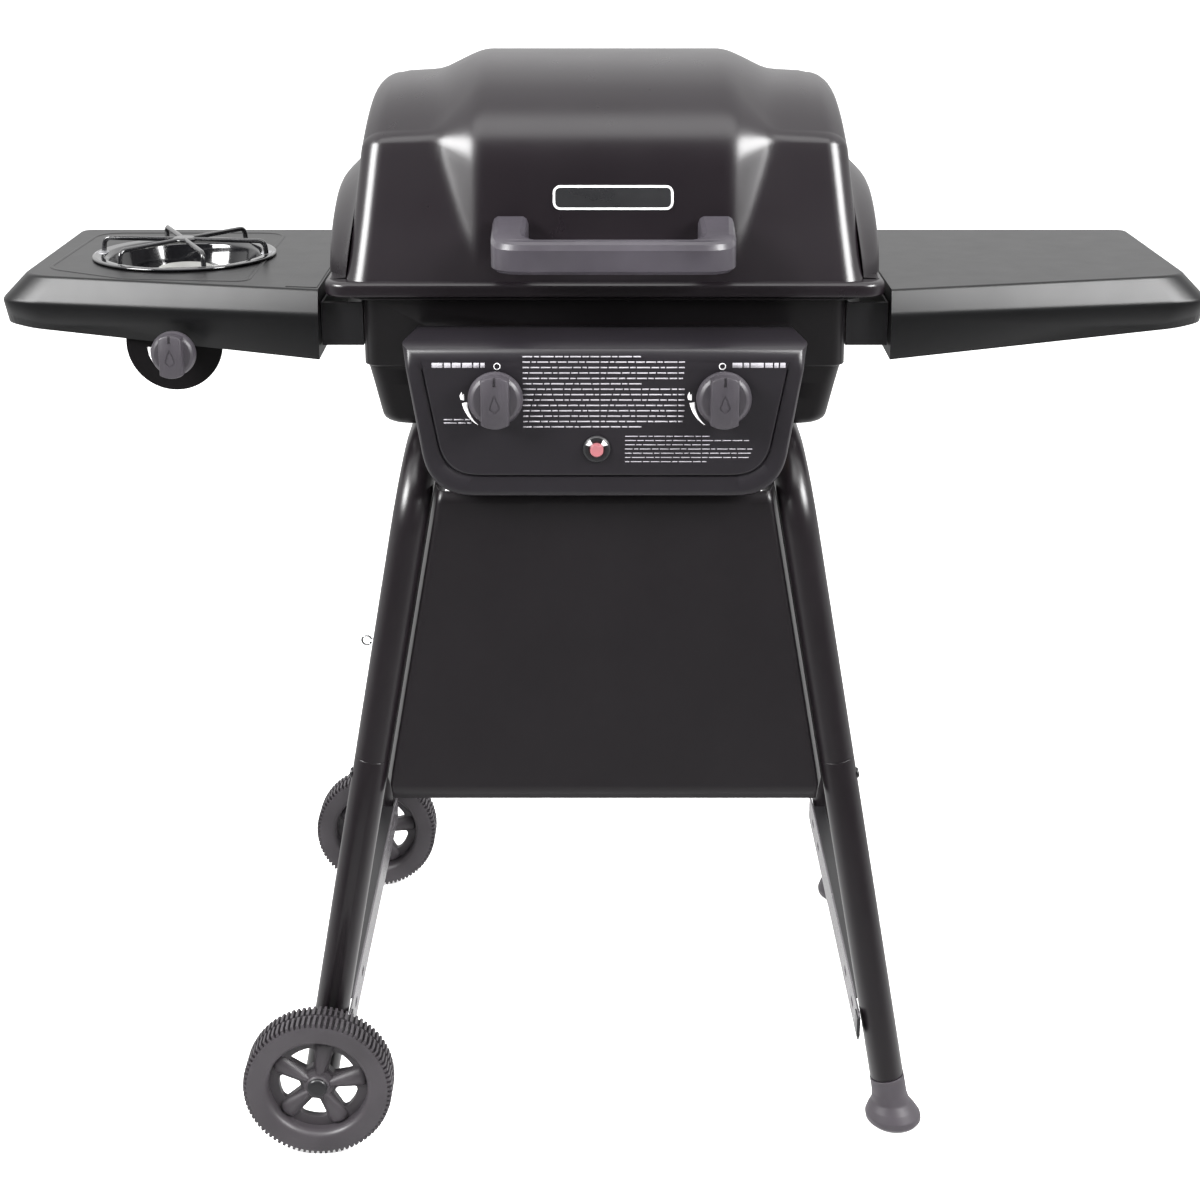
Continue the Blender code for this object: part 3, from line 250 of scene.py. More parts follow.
def enamel(name, colour, roughness):
    """Vitreous enamel: deep gloss with a slow ripple and tiny pits."""
    n = Nodes(name, colour, 0.0, roughness)
    n.colour(n.blend(n.spread(n.noise(240.0, 3.0), 0.0, 1.0, 0.55, 0.8), colour, shade(colour, 2.2)))
    n.roughness(n.spread(n.noise(45.0, 4.0), roughness * 0.7, roughness * 1.6))
    n.bump(n.noise(160.0, 2.0), 0.12, 0.0002)
    tune(n.shader, {"Coat Weight": 0.6, "Coat Roughness": 0.06})
    return n.mat


LID_PAINT = satin_paint("lid_paint", (0.0070, 0.0052, 0.0067), 0.28)
BODY_PAINT = satin_paint("body_paint", (0.0036, 0.0030, 0.0035), 0.34, 0.10, 0.32)
LEG_PAINT = satin_paint("leg_paint", (0.0070, 0.0054, 0.0066), 0.29)
SHIELD_PAINT = satin_paint("shield_paint", (0.0062, 0.0048, 0.0060), 0.36)
PANEL_PAINT = satin_paint("panel_paint", (0.0092, 0.0078, 0.0100), 0.36, 0.14)
# painted highlight: the rail web's light grey colour stands in for the light on its lit face
RAIL_HIGHLIGHT_PAINT = satin_paint("rail_painted_highlight", (0.075, 0.070, 0.076), 0.26)
SHELF_PAINT = satin_paint("shelf_paint", (0.0034, 0.0034, 0.0037), 0.33, 0.16, 0.27)
BRACKET_PAINT = satin_paint("bracket_paint", (0.008, 0.0075, 0.0085), 0.4)
HANDLE_PLASTIC = moulded("handle_plastic", (0.032, 0.0285, 0.035), 0.34)
KNOB_PLASTIC = moulded("knob_plastic", (0.031, 0.0275, 0.033), 0.42)
TRIM_PLASTIC = moulded("trim_plastic", (0.012, 0.012, 0.013), 0.30, 0.08)
WHEEL_PLASTIC = moulded("wheel_plastic", (0.034, 0.030, 0.034), 0.45)
FOOT_PLASTIC = moulded("foot_plastic", (0.037, 0.032, 0.038), 0.45)
RED_PLASTIC = moulded("red_plastic", (0.235, 0.080, 0.089), 0.3, 0.04)
BOWL_ENAMEL = enamel("bowl_enamel", (0.006, 0.006, 0.007), 0.10)
WIRE_ENAMEL = enamel("wire_enamel", (0.007, 0.007, 0.008), 0.16)
STEEL = metal("bright_steel", (0.60, 0.60, 0.58), 0.30)
ROLLED_STEEL = metal("drawn_steel", (0.58, 0.57, 0.55), 0.36, 0.12, (1, 0.03, 1), 0.7)
ZINC = metal("zinc_plate", (0.48, 0.48, 0.50), 0.42, 0.1)
CHROME = metal("chrome", (0.72, 0.72, 0.73), 0.08, 0.02)
BRASS = metal("brass", (0.66, 0.47, 0.20), 0.34, 0.08)
ALLOY = metal("cast_alloy", (0.52, 0.52, 0.50), 0.48, 0.2)
IRON = iron("cast_iron", (0.022, 0.021, 0.021), 0.6)
CERAMIC = moulded("ceramic", (0.74, 0.72, 0.67), 0.25, 0.05)
WHITE_INK = moulded("white_ink", (0.66, 0.65, 0.66), 0.5, 0.05)
PALE_INK = moulded("pale_ink", (0.25, 0.24, 0.26), 0.5, 0.05)


# ---------------------------------------------------------------- mesh tools

AXES = {
    "X": lambda a, b, h: (h, a, b),
    "Y": lambda a, b, h: (a, h, b),
    "Z": lambda a, b, h: (a, b, h),
}


def to_object(name, bm, material, sharp=35.0):
    """Make a smooth-shaded object from a bmesh drawn in millimetres."""
    bmesh.ops.recalc_face_normals(bm, faces=bm.faces)
    bm.transform(Matrix.Scale(MM, 4))
    mesh = bpy.data.meshes.new(name)
    bm.to_mesh(mesh)
    bm.free()
    mesh.shade_smooth()
    if sharp:
        mesh.set_sharp_from_angle(angle=math.radians(sharp))
    ob = bpy.data.objects.new(name, mesh)
    scene.collection.objects.link(ob)
    mesh.materials.append(material)
    return ob


def bevelled(ob, width, segments=3, angle=30.0):
    """Round an object's hard edges."""
    mod = ob.modifiers.new("round_edges", "BEVEL")
    mod.width = width * MM
    mod.segments = segments
    mod.limit_method = "ANGLE"
    mod.angle_limit = math.radians(angle)
    mod.harden_normals = True
    mod.use_clamp_overlap = True
    return ob


def thicken(ob, thickness, inside, even=True):
    """Give an open skin sheet thickness on the side of a point inside it."""
    inside = Vector(inside) * MM
    facing = sum((p.center - inside).dot(p.normal) * p.area for p in ob.data.polygons)
    if facing < 0:
        ob.data.flip_normals()
    mod = ob.modifiers.new("sheet", "SOLIDIFY")
    mod.thickness = thickness * MM
    mod.offset = -1.0
    mod.use_even_offset = even
    return ob


def boolean(ob, other, operation="DIFFERENCE"):
    """Apply a Boolean with another object and remove that object."""
    mod = ob.modifiers.new("shape", "BOOLEAN")
    mod.operation = operation
    mod.solver = "EXACT"
    mod.object = other
    settle(ob)
    if not any(edge.use_edge_sharp for edge in ob.data.edges):
        ob.data.set_sharp_from_angle(angle=math.radians(45))
    bpy.data.objects.remove(other, do_unlink=True)
    return ob


def settle(ob):
    """Turn an object's modifiers into its mesh."""
    bpy.context.view_layer.update()
    graph = bpy.context.evaluated_depsgraph_get()
    mesh = bpy.data.meshes.new_from_object(ob.evaluated_get(graph))
    old = ob.data
    ob.modifiers.clear()
    ob.data = mesh
    bpy.data.meshes.remove(old)
    return ob


def drill(ob, axis, reach, *holes, count=32):
    """Cut round holes, each given as (radius, centre), along an axis."""
    cutter = bmesh.new()
    for radius, centre in holes:
        lathe(cutter, [(0, -reach), (radius, -reach), (radius, reach), (0, reach)], centre, axis, count)
    boolean(ob, to_object("cut", cutter, ob.data.materials[0]))


def shade_flat(ob, limit, *directions):
    """Shade flat the faces that look along one of the directions."""
    for face in ob.data.polygons:
        if any(face.normal.dot(Vector(direction)) > limit for direction in directions):
            face.use_smooth = False


def place(ob, body, *nodes):
    """Attach a piece to its body and let it stand for CAD nodes."""
    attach(ob, body)
    if nodes:
        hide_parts(*nodes)
    return ob


def band(bm, low, high, closed=True):
    """Faces between two rows of vertices of the same length."""
    count = len(low)
    for i in range(count if closed else count - 1):
        j = (i + 1) % count
        bm.faces.new((low[i], low[j], high[j], high[i]))


def prism(bm, outline, low, high, axis="Z", holes=()):
    """Extrude a flat outline, with holes, between two heights along an axis."""
    spot = AXES[axis]
    loops = [outline, *holes]
    rings = []
    for height in (low, high):
        rings.append([[bm.verts.new(spot(a, b, height)) for a, b in loop] for loop in loops])
    triangles = tessellate_polygon([[Vector((a, b, 0)) for a, b in loop] for loop in loops])
    for ring in rings:
        flat = [vert for loop in ring for vert in loop]
        if len(loops) == 1:
            bm.faces.new(flat)
            continue
        for triangle in triangles:
            bm.faces.new([flat[i] for i in triangle])
    for low_loop, high_loop in zip(*rings):
        band(bm, low_loop, high_loop)


def box(bm, x0, x1, y0, y1, z0, z1):
    """A block."""
    prism(bm, [(x0, y0), (x1, y0), (x1, y1), (x0, y1)], z0, z1)


def polar(radius, angle, centre=(0, 0)):
    """A point at an angle round a centre."""
    return centre[0] + radius * math.cos(angle), centre[1] + radius * math.sin(angle)


def circle(radius, count, centre=(0, 0)):
    """Points round a circle."""
    return [polar(radius, math.tau * i / count, centre) for i in range(count)]


def arc(radius, start, stop, steps, centre, last_radius=None):
    """Points from one angle to another, in degrees; the radius may change on the way."""
    change = 0.0 if last_radius is None else last_radius - radius
    return [polar(radius + change * i / steps, math.radians(start + (stop - start) * i / steps), centre)
            for i in range(steps + 1)]


def curve(start, corner, end, steps):
    """Points along a round turn between two points, drawn towards the corner."""
    points = []
    for i in range(steps + 1):
        t = i / steps
        points.append(start.lerp(corner, t).lerp(corner.lerp(end, t), t))
    return points


def filleted(points, radius, steps=4, closed=False):
    """Round the corners of a flat line of points; radius is one number or one for each point."""
    out = []
    count = len(points)
    for i, point in enumerate(points):
        size = radius[i] if isinstance(radius, (list, tuple)) else radius
        if size == 0 or (not closed and i in (0, count - 1)):
            out.append(tuple(point))
            continue
        here = Vector(point)
        back = Vector(points[i - 1]) - here
        ahead = Vector(points[(i + 1) % count]) - here
        half = back.angle(ahead) / 2
        cut = min(size / math.tan(half), back.length * 0.48, ahead.length * 0.48)
        turn = curve(here + back.normalized() * cut, here, here + ahead.normalized() * cut, steps)
        out += [tuple(p) for p in turn]
    return out


def rounded_rect(half_a, half_b, radius, steps=6, centre=(0, 0)):
    """Points round a rectangle with round corners."""
    points = []
    for corner, (sa, sb) in enumerate(((1, 1), (-1, 1), (-1, -1), (1, -1))):
        for i in range(steps + 1):
            middle = (centre[0] + sa * (half_a - radius), centre[1] + sb * (half_b - radius))
            points.append(polar(radius, math.pi / 2 * (corner + i / steps), middle))
    return points


def lathe(bm, profile, centre, axis="Z", count=64, ring=False):
    """Turn a profile of (radius, height) round an axis; ring closes the profile on itself."""
    spot = AXES[axis]
    order = {"X": (1, 2, 0), "Y": (0, 2, 1), "Z": (0, 1, 2)}[axis]
    middle = (centre[order[0]], centre[order[1]])
    off = centre[order[2]]
    rows = []
    for radius, height in profile:
        if radius < 1e-6:
            rows.append([bm.verts.new(spot(*middle, off + height))])
        else:
            rows.append([bm.verts.new(spot(a, b, off + height))
                         for a, b in circle(radius, count, middle)])
    pairs = list(zip(rows, rows[1:]))
    if ring:
        pairs.append((rows[-1], rows[0]))
    for low, high in pairs:
        if len(low) == len(high) == count:
            band(bm, low, high)
            continue
        for i in range(count):
            j = (i + 1) % count
            if len(low) == 1:
                bm.faces.new((low[0], high[j], high[i]))
            else:
                bm.faces.new((low[i], low[j], high[0]))


def turned(name, profile, centre, axis, material, count=64, sharp=35.0, ring=False):
    """An object made by turning one profile."""
    bm = bmesh.new()
    lathe(bm, profile, centre, axis, count, ring)
    return to_object(name, bm, material, sharp)


def mirrored(half):
    """A profile of (radius, height) made whole by its mirror image."""
    return [*half, *((radius, -height) for radius, height in reversed(half))]


def sweep(bm, path, radius, count=24, bore=0.0):
    """A round bar along a path, or a tube when bore is given."""
    path = [Vector(p) for p in path]
    total = len(path)
    tangents = []
    for i in range(total):
        before = path[max(i - 1, 0)]
        after = path[min(i + 1, total - 1)]
        tangents.append((after - before).normalized())
    side = tangents[0].orthogonal().normalized()
    outer, inner = [], []
    for point, tangent in zip(path, tangents):
        side = (side - tangent * side.dot(tangent)).normalized()
        up = tangent.cross(side)
        for rows, reach in ((outer, radius), (inner, bore)):
            if reach:
                rows.append([bm.verts.new(point + side * a + up * b) for a, b in circle(reach, count)])
    for rows in (outer, inner):
        for low, high in zip(rows, rows[1:]):
            band(bm, low, high)
    for end in (0, -1):
        if bore:
            band(bm, outer[end], inner[end])
        else:
            bm.faces.new(outer[end])


def arc_corner(before, corner, after, radius, steps=10):
    """Points along a round bend that replaces the corner of a path."""
    corner = Vector(corner)
    a = (Vector(before) - corner).normalized()
    b = (Vector(after) - corner).normalized()
    half = a.angle(b) / 2
    centre = corner + (a + b).normalized() * radius / math.sin(half)
    start = corner + a * radius / math.tan(half)
    end = corner + b * radius / math.tan(half)
    turn = (start - centre).angle(end - centre)
    axis = (start - centre).cross(end - centre).normalized()
    return [centre + Matrix.Rotation(turn * i / steps, 3, axis) @ (start - centre)
            for i in range(steps + 1)]


def skin(bm, rows, close_rows=False):
    """Faces between neighbouring rows of points, each row with the same number of points."""
    verts = [[bm.verts.new(p) for p in row] for row in rows]
    for low, high in zip(verts, verts[1:]):
        band(bm, low, high, close_rows)
    return verts


def solid(bm, rings):
    """A solid through closed rows of points, with flat ends."""
    verts = skin(bm, rings, close_rows=True)
    bm.faces.new(verts[0])
    bm.faces.new(verts[-1])


def fold_face(bm, row):
    """Fill the flat area inside a row that starts and ends on the same edge."""
    last = len(row) - 1
    for i in range((last + 1) // 2):
        corners = [row[i], row[i + 1], row[last - i - 1], row[last - i]]
        unique = list(dict.fromkeys(corners))
        if len(unique) > 2:
            bm.faces.new(unique)


def soft_step(t, edge):
    """A straight ramp from 0 to 1 with rounded ends."""
    if t <= -edge:
        return 0.0
    if t >= 1 + edge:
        return 1.0
    if t < edge:
        return (t + edge) ** 2 / (4 * edge)
    if t > 1 - edge:
        return 1 - (1 + edge - t) ** 2 / (4 * edge)
    return t


def clamp(value):
    """A value held between 0 and 1."""
    return min(1.0, max(0.0, value))


def with_turn(bm, angle, spot, draw):
    """Draw something round the origin, then turn it and set it down on a spot."""
    known = len(bm.verts)
    draw()
    bm.verts.ensure_lookup_table()
    turn = Matrix.Translation(spot) @ Matrix.Rotation(angle, 4, "Z")
    for vert in bm.verts[known:]:
        vert.co = turn @ vert.co


def screw(bm, centre, axis, radius=5.5, rise=2.6):
    """Pan-head screw with a cross recess, drawn along a direction."""
    profile = [(0, 0), (radius, 0), (radius, rise * 0.35), (radius * 0.86, rise * 0.8),
               (radius * 0.5, rise), (0, rise)]
    lathe(bm, profile, (0, 0, 0), "Z", 20)
    arm, half = radius * 0.6, 0.55
    for along_x, along_y in ((arm, half), (half, arm)):
        box(bm, -along_x, along_x, -along_y, along_y, rise * 0.95, rise * 1.03)
    turn = Vector((0, 0, 1)).rotation_difference(axis).to_matrix().to_4x4()
    bm.transform(Matrix.Translation(centre) @ turn)


# ---------------------------------------------------------------- lid

def lid_profile(cut, lift):
    """Side view of the lid, front rim to back rim, as offsets from the lid's middle.

    cut is how far the turn between front and top is rounded, lift raises that turn.
    """
    crown = LID_TOP - LID_BASE_Z - LID_PANEL_RISE
    crown_half, crown_drop = 72.0, 9.0
    corner = Vector((-LID_BODY_Y + LID_LEAN + lift * 0.3, LID_CREASE + lift))
    start = Vector((-LID_BODY_Y, 0))
    top = Vector((-crown_half, crown - crown_drop + lift * 0.4))
    a = corner + (start - corner).normalized() * cut
    b = corner + (top - corner).normalized() * cut
    points = [start.lerp(a, i / 14) for i in range(14)]
    points += curve(a, corner, b, 12)
    for i in range(1, 13):
        share = 1 - i / 12
        points.append(Vector((b.x * share, crown - (crown - b.y) * (0.55 * share ** 2 + 0.45 * share ** 3))))
    return points + [Vector((-p.x, p.y)) for p in reversed(points[:-1])]


def profile_normals(profile):
    """Outward directions along a side view."""
    last = len(profile) - 1
    normals = []
    for i in range(last + 1):
        along = profile[min(i + 1, last)] - profile[max(i - 1, 0)]
        normals.append(Vector((-along.y, along.x)).normalized())
    return normals


def lid_half_x(height):
    """Half width of the lid's body at a height over its base."""
    return LID_BODY_X - 0.115 * max(height, 0.0)


def panel_rise(height):
    """How far the raised panel stands off: it fades out near the rim."""
    low, high = 22.0, 127.0
    return LID_PANEL_RISE * soft_step((height - low) / (high - low), 0.12)


def panel_foot(height):
    """Half width of the raised panel's foot, which widens upwards."""
    narrow, wide, low, high = 126.0, 162.0, 18.0, 136.0
    return narrow + (wide - narrow) * clamp((height - low) / (high - low))


def lid_rows():
    """Rows of points over the lid's outside, from the left ear to the right ear."""
    shoulder = lid_profile(9.0, 1.0)
    panel = lid_profile(40.0, 7.0)
    normals = profile_normals(shoulder)
    panel_normals = profile_normals(panel)
    ear_y, ear_z, ear_x, ear_round = 160.0, 117.0, 268.0, 44.0
    rows = []

    def ear(share):
        """One ring of the ear: 0 lies on the lid's side, 1 and more on the flat outer face."""
        row = []
        half, rise = ear_y - ear_round * share, ear_z - ear_round * share
        part = clamp(share)
        blend = part * part * (3 - 2 * part)
        for p in shoulder:
            angle = math.atan2(p.y, -p.x)
            reach = half * rise / math.hypot(rise * math.cos(angle), half * math.sin(angle))
            z = reach * math.sin(angle)
            body = lid_half_x(z)
            out = (ear_x - 0.02 * z - body) * blend
            row.append(Vector((-(body + out), -reach * math.cos(angle), z)))
        return row

    for share in (1.35, *(i / 10 for i in range(10, -1, -1))):
        rows.append(ear(share))

    def fall(x, n):
        """The shoulders drop a little towards the lid's sides."""
        drop, start, stop = 5.0, 135.0, 225.0
        return drop * clamp((x - start) / (stop - start)) * n.y ** 2

    for i in range(11):
        turn = math.radians(90 * i / 10)
        inset = LID_FILLET * (1 - math.sin(turn))
        out = LID_FILLET * (1 - math.cos(turn))
        row = []
        for p, n in zip(shoulder, normals):
            q = p - n * (inset + fall(LID_BODY_X - LID_FILLET, n))
            height = max(q.y, 0)
            row.append(Vector((-(lid_half_x(height) - out), q.x, height)))
        rows.append(row)
    # shares of the half width where rows run, closest together where the raised panel steps up
    spots = [0.965, 0.93, 0.89, 0.85, 0.81, 0.775, 0.745]
    spots += [0.745 - 0.0165 * i for i in range(1, 20)]
    spots += [0.38, 0.32, 0.26, 0.2, 0.14, 0.07, 0.0]
    for share in spots:
        row = []
        for p, n, raised, raised_n in zip(shoulder, normals, panel, panel_normals):
            x = (lid_half_x(p.y) - LID_FILLET) * share
            foot_x = panel_foot(p.y)
            step = soft_step((foot_x - x) / (foot_x - PANEL_HALF), 0.22)
            low = p - n * fall(x, n)
            high = raised + raised_n * panel_rise(raised.y)
            q = low.lerp(high, step)
            row.append(Vector((-x, q.x, q.y)))
        rows.append(row)
    for row in rows:
        for p in row:
            p.z += RIM_RISE * clamp(1 - p.z / RIM_FADE)
    rows += [[Vector((-p.x, p.y, p.z)) for p in row] for row in reversed(rows[:-1])]
    return rows


def build_lid():
    """Pressed lid with raised panel, round ears and a rolled rim."""
    rows = lid_rows()
    last = len(rows[0]) - 1
    base = Vector((0, BOX_Y, LID_BASE_Z))
    bm = bmesh.new()
    verts = skin(bm, [[p + base for p in row] for row in rows])
    for row in (verts[0], verts[-1]):
        fold_face(bm, row)
    edge = [row[0] for row in verts] + [row[last] for row in reversed(verts)]
    radius = 24.0
    corner_x, corner_y = LID_RIM_X - radius, LID_RIM_Y - radius
    inner_x, inner_y = LID_BODY_X - LID_FILLET, LID_BODY_Y - LID_FILLET

    def rim_point(vert, grow, z):
        """Where a point of the lid's edge comes on a rim ring."""
        x, y = vert.co.x, vert.co.y - BOX_Y
        sx, sy = (1 if x > 0 else -1), (1 if y > 0 else -1)
        if abs(x) <= inner_x:
            return Vector((x * corner_x / inner_x, BOX_Y + sy * (LID_RIM_Y + grow), z))
        if abs(y) <= inner_y + 1:
            return Vector((sx * (LID_RIM_X + grow), BOX_Y + y * corner_y / (inner_y + 1), z))
        angle = math.atan2(abs(y) - inner_y, abs(x) - inner_x)
        out = radius + grow
        return Vector((sx * (corner_x + out * math.cos(angle)),
                       BOX_Y + sy * (corner_y + out * math.sin(angle)), z))

    roll = 5.0
    levels = [(-roll - 1.0, RIM_RISE)]
    for i in range(9):
        turn = math.radians(90 * i / 8)
        levels.append((-roll + roll * math.sin(turn), RIM_RISE - roll * (1 - math.cos(turn))))
    levels += [(0.0, -5.5), (-0.4, -7.2), (-1.2, -8.0)]
    loops = [edge]
    for grow, fall in levels:
        loops.append([bm.verts.new(rim_point(vert, grow, LID_BASE_Z + fall)) for vert in edge])
    for low, high in zip(loops, loops[1:]):
        band(bm, low, high)
    ob = to_object("lid_skin", bm, LID_PAINT, 50)
    thicken(ob, 1.6, (0, BOX_Y, LID_BASE_Z + 20), even=False)
    place(ob, "lid", "lid_shell")


def lid_face_y(z):
    """Where the raised panel's front is at a height."""
    height = z - LID_BASE_Z
    if height <= RIM_FADE:
        height = (height - RIM_RISE) / (1 - RIM_RISE / RIM_FADE)
    return BOX_Y - LID_BODY_Y + LID_LEAN * height / LID_CREASE - 0.95 * panel_rise(height)


def build_handle():
    """Moulded handle: a bar with chamfered edges whose round ends sweep back and up to the lid."""
    front, back, root = -276.0, -255.0, -205.0
    outer, inner = 114.0, 80.0
    low, high = 908.5, 938.5
    chamfer = 7.0
    outline = [(-outer, root), (-outer, front), (outer, front), (outer, root),
               (inner, root), (inner, back), (-inner, back), (-inner, root)]
    outline = filleted(outline, [0, 36, 36, 0, 0, 17, 17, 0], 12, closed=True)
    count = len(outline)
    outward = []
    for i in range(count):
        along = (Vector(outline[(i + 1) % count]) - Vector(outline[i - 1])).normalized()
        outward.append(Vector((along.y, -along.x)))
    if sum(n.x * p[0] for n, p in zip(outward, outline)) < 0:
        outward = [-n for n in outward]

    def lift(y):
        """The posts grow upwards as they near the lid."""
        return 13.0 * clamp((y - front - 12) / 52.0) ** 1.2

    rows = []
    for inset, z, top in ((chamfer * 0.6, low, 0), (0.0, low + chamfer * 0.5, 0), (0.0, high - chamfer, 1),
                          (chamfer * 0.35, high - chamfer * 0.3, 1), (chamfer, high, 1)):
        row = []
        for point, n in zip(outline, outward):
            x, y = Vector(point) - n * inset
            if point[1] > root - 1:
                y = point[1]
            row.append((x + HANDLE_SHIFT, y, z + lift(y) * top))
        rows.append(row)
    bm = bmesh.new()
    verts = skin(bm, rows, close_rows=True)
    flat = [Vector((x, y, 0)) for x, y, _ in rows[0]]
    for triangle in tessellate_polygon([flat]):
        for ring in (verts[0], verts[-1]):
            bm.faces.new([ring[i] for i in triangle])
    ob = to_object("handle_bar", bm, HANDLE_PLASTIC, 0)
    cutter = bmesh.new()
    slope = [(-100.0, 870.0), (-100.0, 1000.0)]
    slope += [(lid_face_y(z) - GAP - 0.5, z) for z in range(1000, 890, -10)]
    slope.append((lid_face_y(890) - 1.0, 870.0))
    prism(cutter, slope, -150, 150, "X")
    boolean(ob, to_object("cut", cutter, HANDLE_PLASTIC, 0))
    ob.data.shade_smooth()
    bevelled(ob, 1.6, 3, 24)
    place(ob, "lid", "lid_handle")


def build_badge():
    """Plain enamelled badge on the lid's front: a dark plate with a pale edge."""
    low, high = 955.5, 979.5
    foot, head = lid_face_y(low), lid_face_y(high)
    lean = Matrix.Rotation(math.atan2(head - foot, high - low), 4, "X")
    spot = Matrix.Translation((HANDLE_SHIFT, (foot + head) / 2 - 0.4, (low + high) / 2))
    half_x, half_z = 57.0, 11.5
    for name, material, inset, depth in (("badge_edge", WHITE_INK, 0.0, 1.2),
                                         ("badge_field", TRIM_PLASTIC, 2.2, 1.5)):
        bm = bmesh.new()
        prism(bm, rounded_rect(half_x - inset, half_z - inset, 7.0 - inset), -depth, 1.5, "Y")
        bm.transform(spot @ lean.inverted())
        place(to_object(name, bm, material), "lid")


# ---------------------------------------------------------------- firebox and panel

def build_firebox():
    """Pressed pan: rim flange, upper wall, step, tapering lower wall and a round bottom edge."""
    levels = [
        (BOX_HALF_X + 11, BOX_HALF_Y + 8, BOX_RIM_Z - 2.4, 22),
        (BOX_HALF_X + 10.4, BOX_HALF_Y + 7.4, BOX_RIM_Z - 1.5, 22),
        (BOX_HALF_X + 2, BOX_HALF_Y + 2, BOX_RIM_Z - 1.5, 15),
        (BOX_HALF_X + 0.5, BOX_HALF_Y + 0.5, BOX_RIM_Z - 2.1, 14),
        (BOX_HALF_X, BOX_HALF_Y, BOX_RIM_Z - 4, 14),
        (BOX_HALF_X, BOX_HALF_Y, BOX_SEAM_Z + 1, 14),
        (BOX_HALF_X - 0.5, BOX_HALF_Y - 0.5, BOX_SEAM_Z, 14),
        (BOX_HALF_X - 3, BOX_HALF_Y - 3, BOX_SEAM_Z - 1.5, 14),
        (BOX_HALF_X - 4, BOX_HALF_Y - 3.5, BOX_SEAM_Z - 4, 14),
    ]
    for t in (0.33, 0.66, 1.0):
        levels.append((BOX_HALF_X - 4 - 10 * t, BOX_HALF_Y - 3.5 - 7.5 * t,
                       BOX_SEAM_Z - 4 - 47.5 * t, 16))
    for i in range(1, 7):
        turn = math.radians(15 * i)
        inset = 15 * (1 - math.cos(turn))
        levels.append((BOX_HALF_X - 14 - inset, BOX_HALF_Y - 11 - inset,
                       BOX_BOTTOM_Z + 12 * (1 - math.sin(turn)), 18))
    rows = [[(a, b, z) for a, b in rounded_rect(hx, hy, r, 8, (0, BOX_Y))]
            for hx, hy, z, r in levels]
    drain = []
    for x, y, _ in rows[-1]:
        away = math.hypot(x, y - BOX_Y)
        drain.append((x / away * 15, BOX_Y + (y - BOX_Y) / away * 15, BOX_BOTTOM_Z))
    rows.append(drain)
    bm = bmesh.new()
    skin(bm, rows, close_rows=True)
    ob = to_object("firebox_pan", bm, BODY_PAINT)
    thicken(ob, SHEET, (0, BOX_Y, BOX_RIM_Z))
    drill(ob, "Y", 30, *((12.5, (knob_x(side), BOX_Y - BOX_HALF_Y, KNOB_Z)) for side in (-1, 1)))
    place(ob, "stand", "firebox")


def panel_row(inset, y, top_z, top_x, top_y):
    """One row of points round the control panel, from its top right corner to its top left."""
    bottom, radius = PANEL_BOTTOM + inset, 42.0 - 0.5 * inset
    narrow = 0.72 * inset
    lower = Vector((PANEL_LOW_X - narrow, bottom))
    upper = Vector((PANEL_HIGH_X - narrow, PANEL_TOP))
    along = (upper - lower).normalized()
    shoulder = lower + along * (PANEL_SHOULDER - bottom) / along.y
    start, end = lower + along * radius, lower - Vector((radius, 0))
    right = [shoulder.lerp(start, t / 5) for t in range(5)]
    right += curve(start, lower, end, 16)
    sides = [(p.x, p.y) for p in right]
    sides += [(-x, z) for x, z in reversed(sides)]
    return [(top_x, top_y, top_z), *((x, y, z) for x, z in sides), (-top_x, top_y, top_z)]


def build_panel():
    """Pressed control panel: flat field, soft bevel, turned edge and a top that rolls back."""
    back = BOX_Y - BOX_HALF_Y - 3
    # each ring: inset, how far it sinks in, then height, half width and set-back of its top edge
    shape = [(23.4, 0.0, 823.0, 165.0, 0.0), (22.6, 0.5, 825.0, 166.5, 0.1),
             (22.2, 3.6, 828.0, 168.5, 0.4), (20.8, 4.2, 830.5, 170.5, 0.9), (19.6, 2.9, 832.5, 172.5, 1.5),
             (7.0, 1.4, 836.5, 178.0, 3.4), (3.4, 1.6, 839.4, 181.5, 5.6), (1.4, 3.2, 841.5, 184.5, 8.4),
             (0.3, 6.4, 843.0, 187.0, 11.6), (0.0, 12.0, 844.0, PANEL_HIGH_X, 15.2)]
    rows = [panel_row(inset, PANEL_Y + sink, z, x, PANEL_Y + top) for inset, sink, z, x, top in shape]
    near = len(rows)
    fold_y, fold_z = PANEL_Y + 20, 845.0
    for i in range(7):
        t = i / 6
        rows.append(panel_row(0.0, PANEL_Y + 16, fold_z + 2.0 * t, PANEL_HIGH_X - 10.0 * t,
                              fold_y + (back - fold_y) * t))
    bm = bmesh.new()
    verts = skin(bm, rows[:near + 1])
    sides = verts[near]
    fold_face(bm, verts[0])
    tops = [(row[0], row[-1]) for row in verts]
    for row in rows[near + 1:]:
        tops.append((bm.verts.new(row[0]), bm.verts.new(row[-1])))
    for (a, b), (c, d) in zip(tops, tops[1:]):
        bm.faces.new((a, b, d, c))
    for corner, end in ((sides[1], 0), (sides[-2], 1)):
        bm.faces.new([corner, *(pair[end] for pair in tops[near:])])
    ob = to_object("control_fascia", bm, PANEL_PAINT, 40)
    thicken(ob, 1.4, (0, -230, 790), even=False)
    settle(ob)
    drill(ob, "Y", 6, (6.0, (knob_x(-1), PANEL_Y, KNOB_Z)), (6.0, (knob_x(1), PANEL_Y, KNOB_Z)),
          (11.0, (IGNITER_X, PANEL_Y, IGNITER_Z)))
    shade_flat(ob, 0.99995, (0, -1, 0))
    place(ob, "stand", "control_panel")


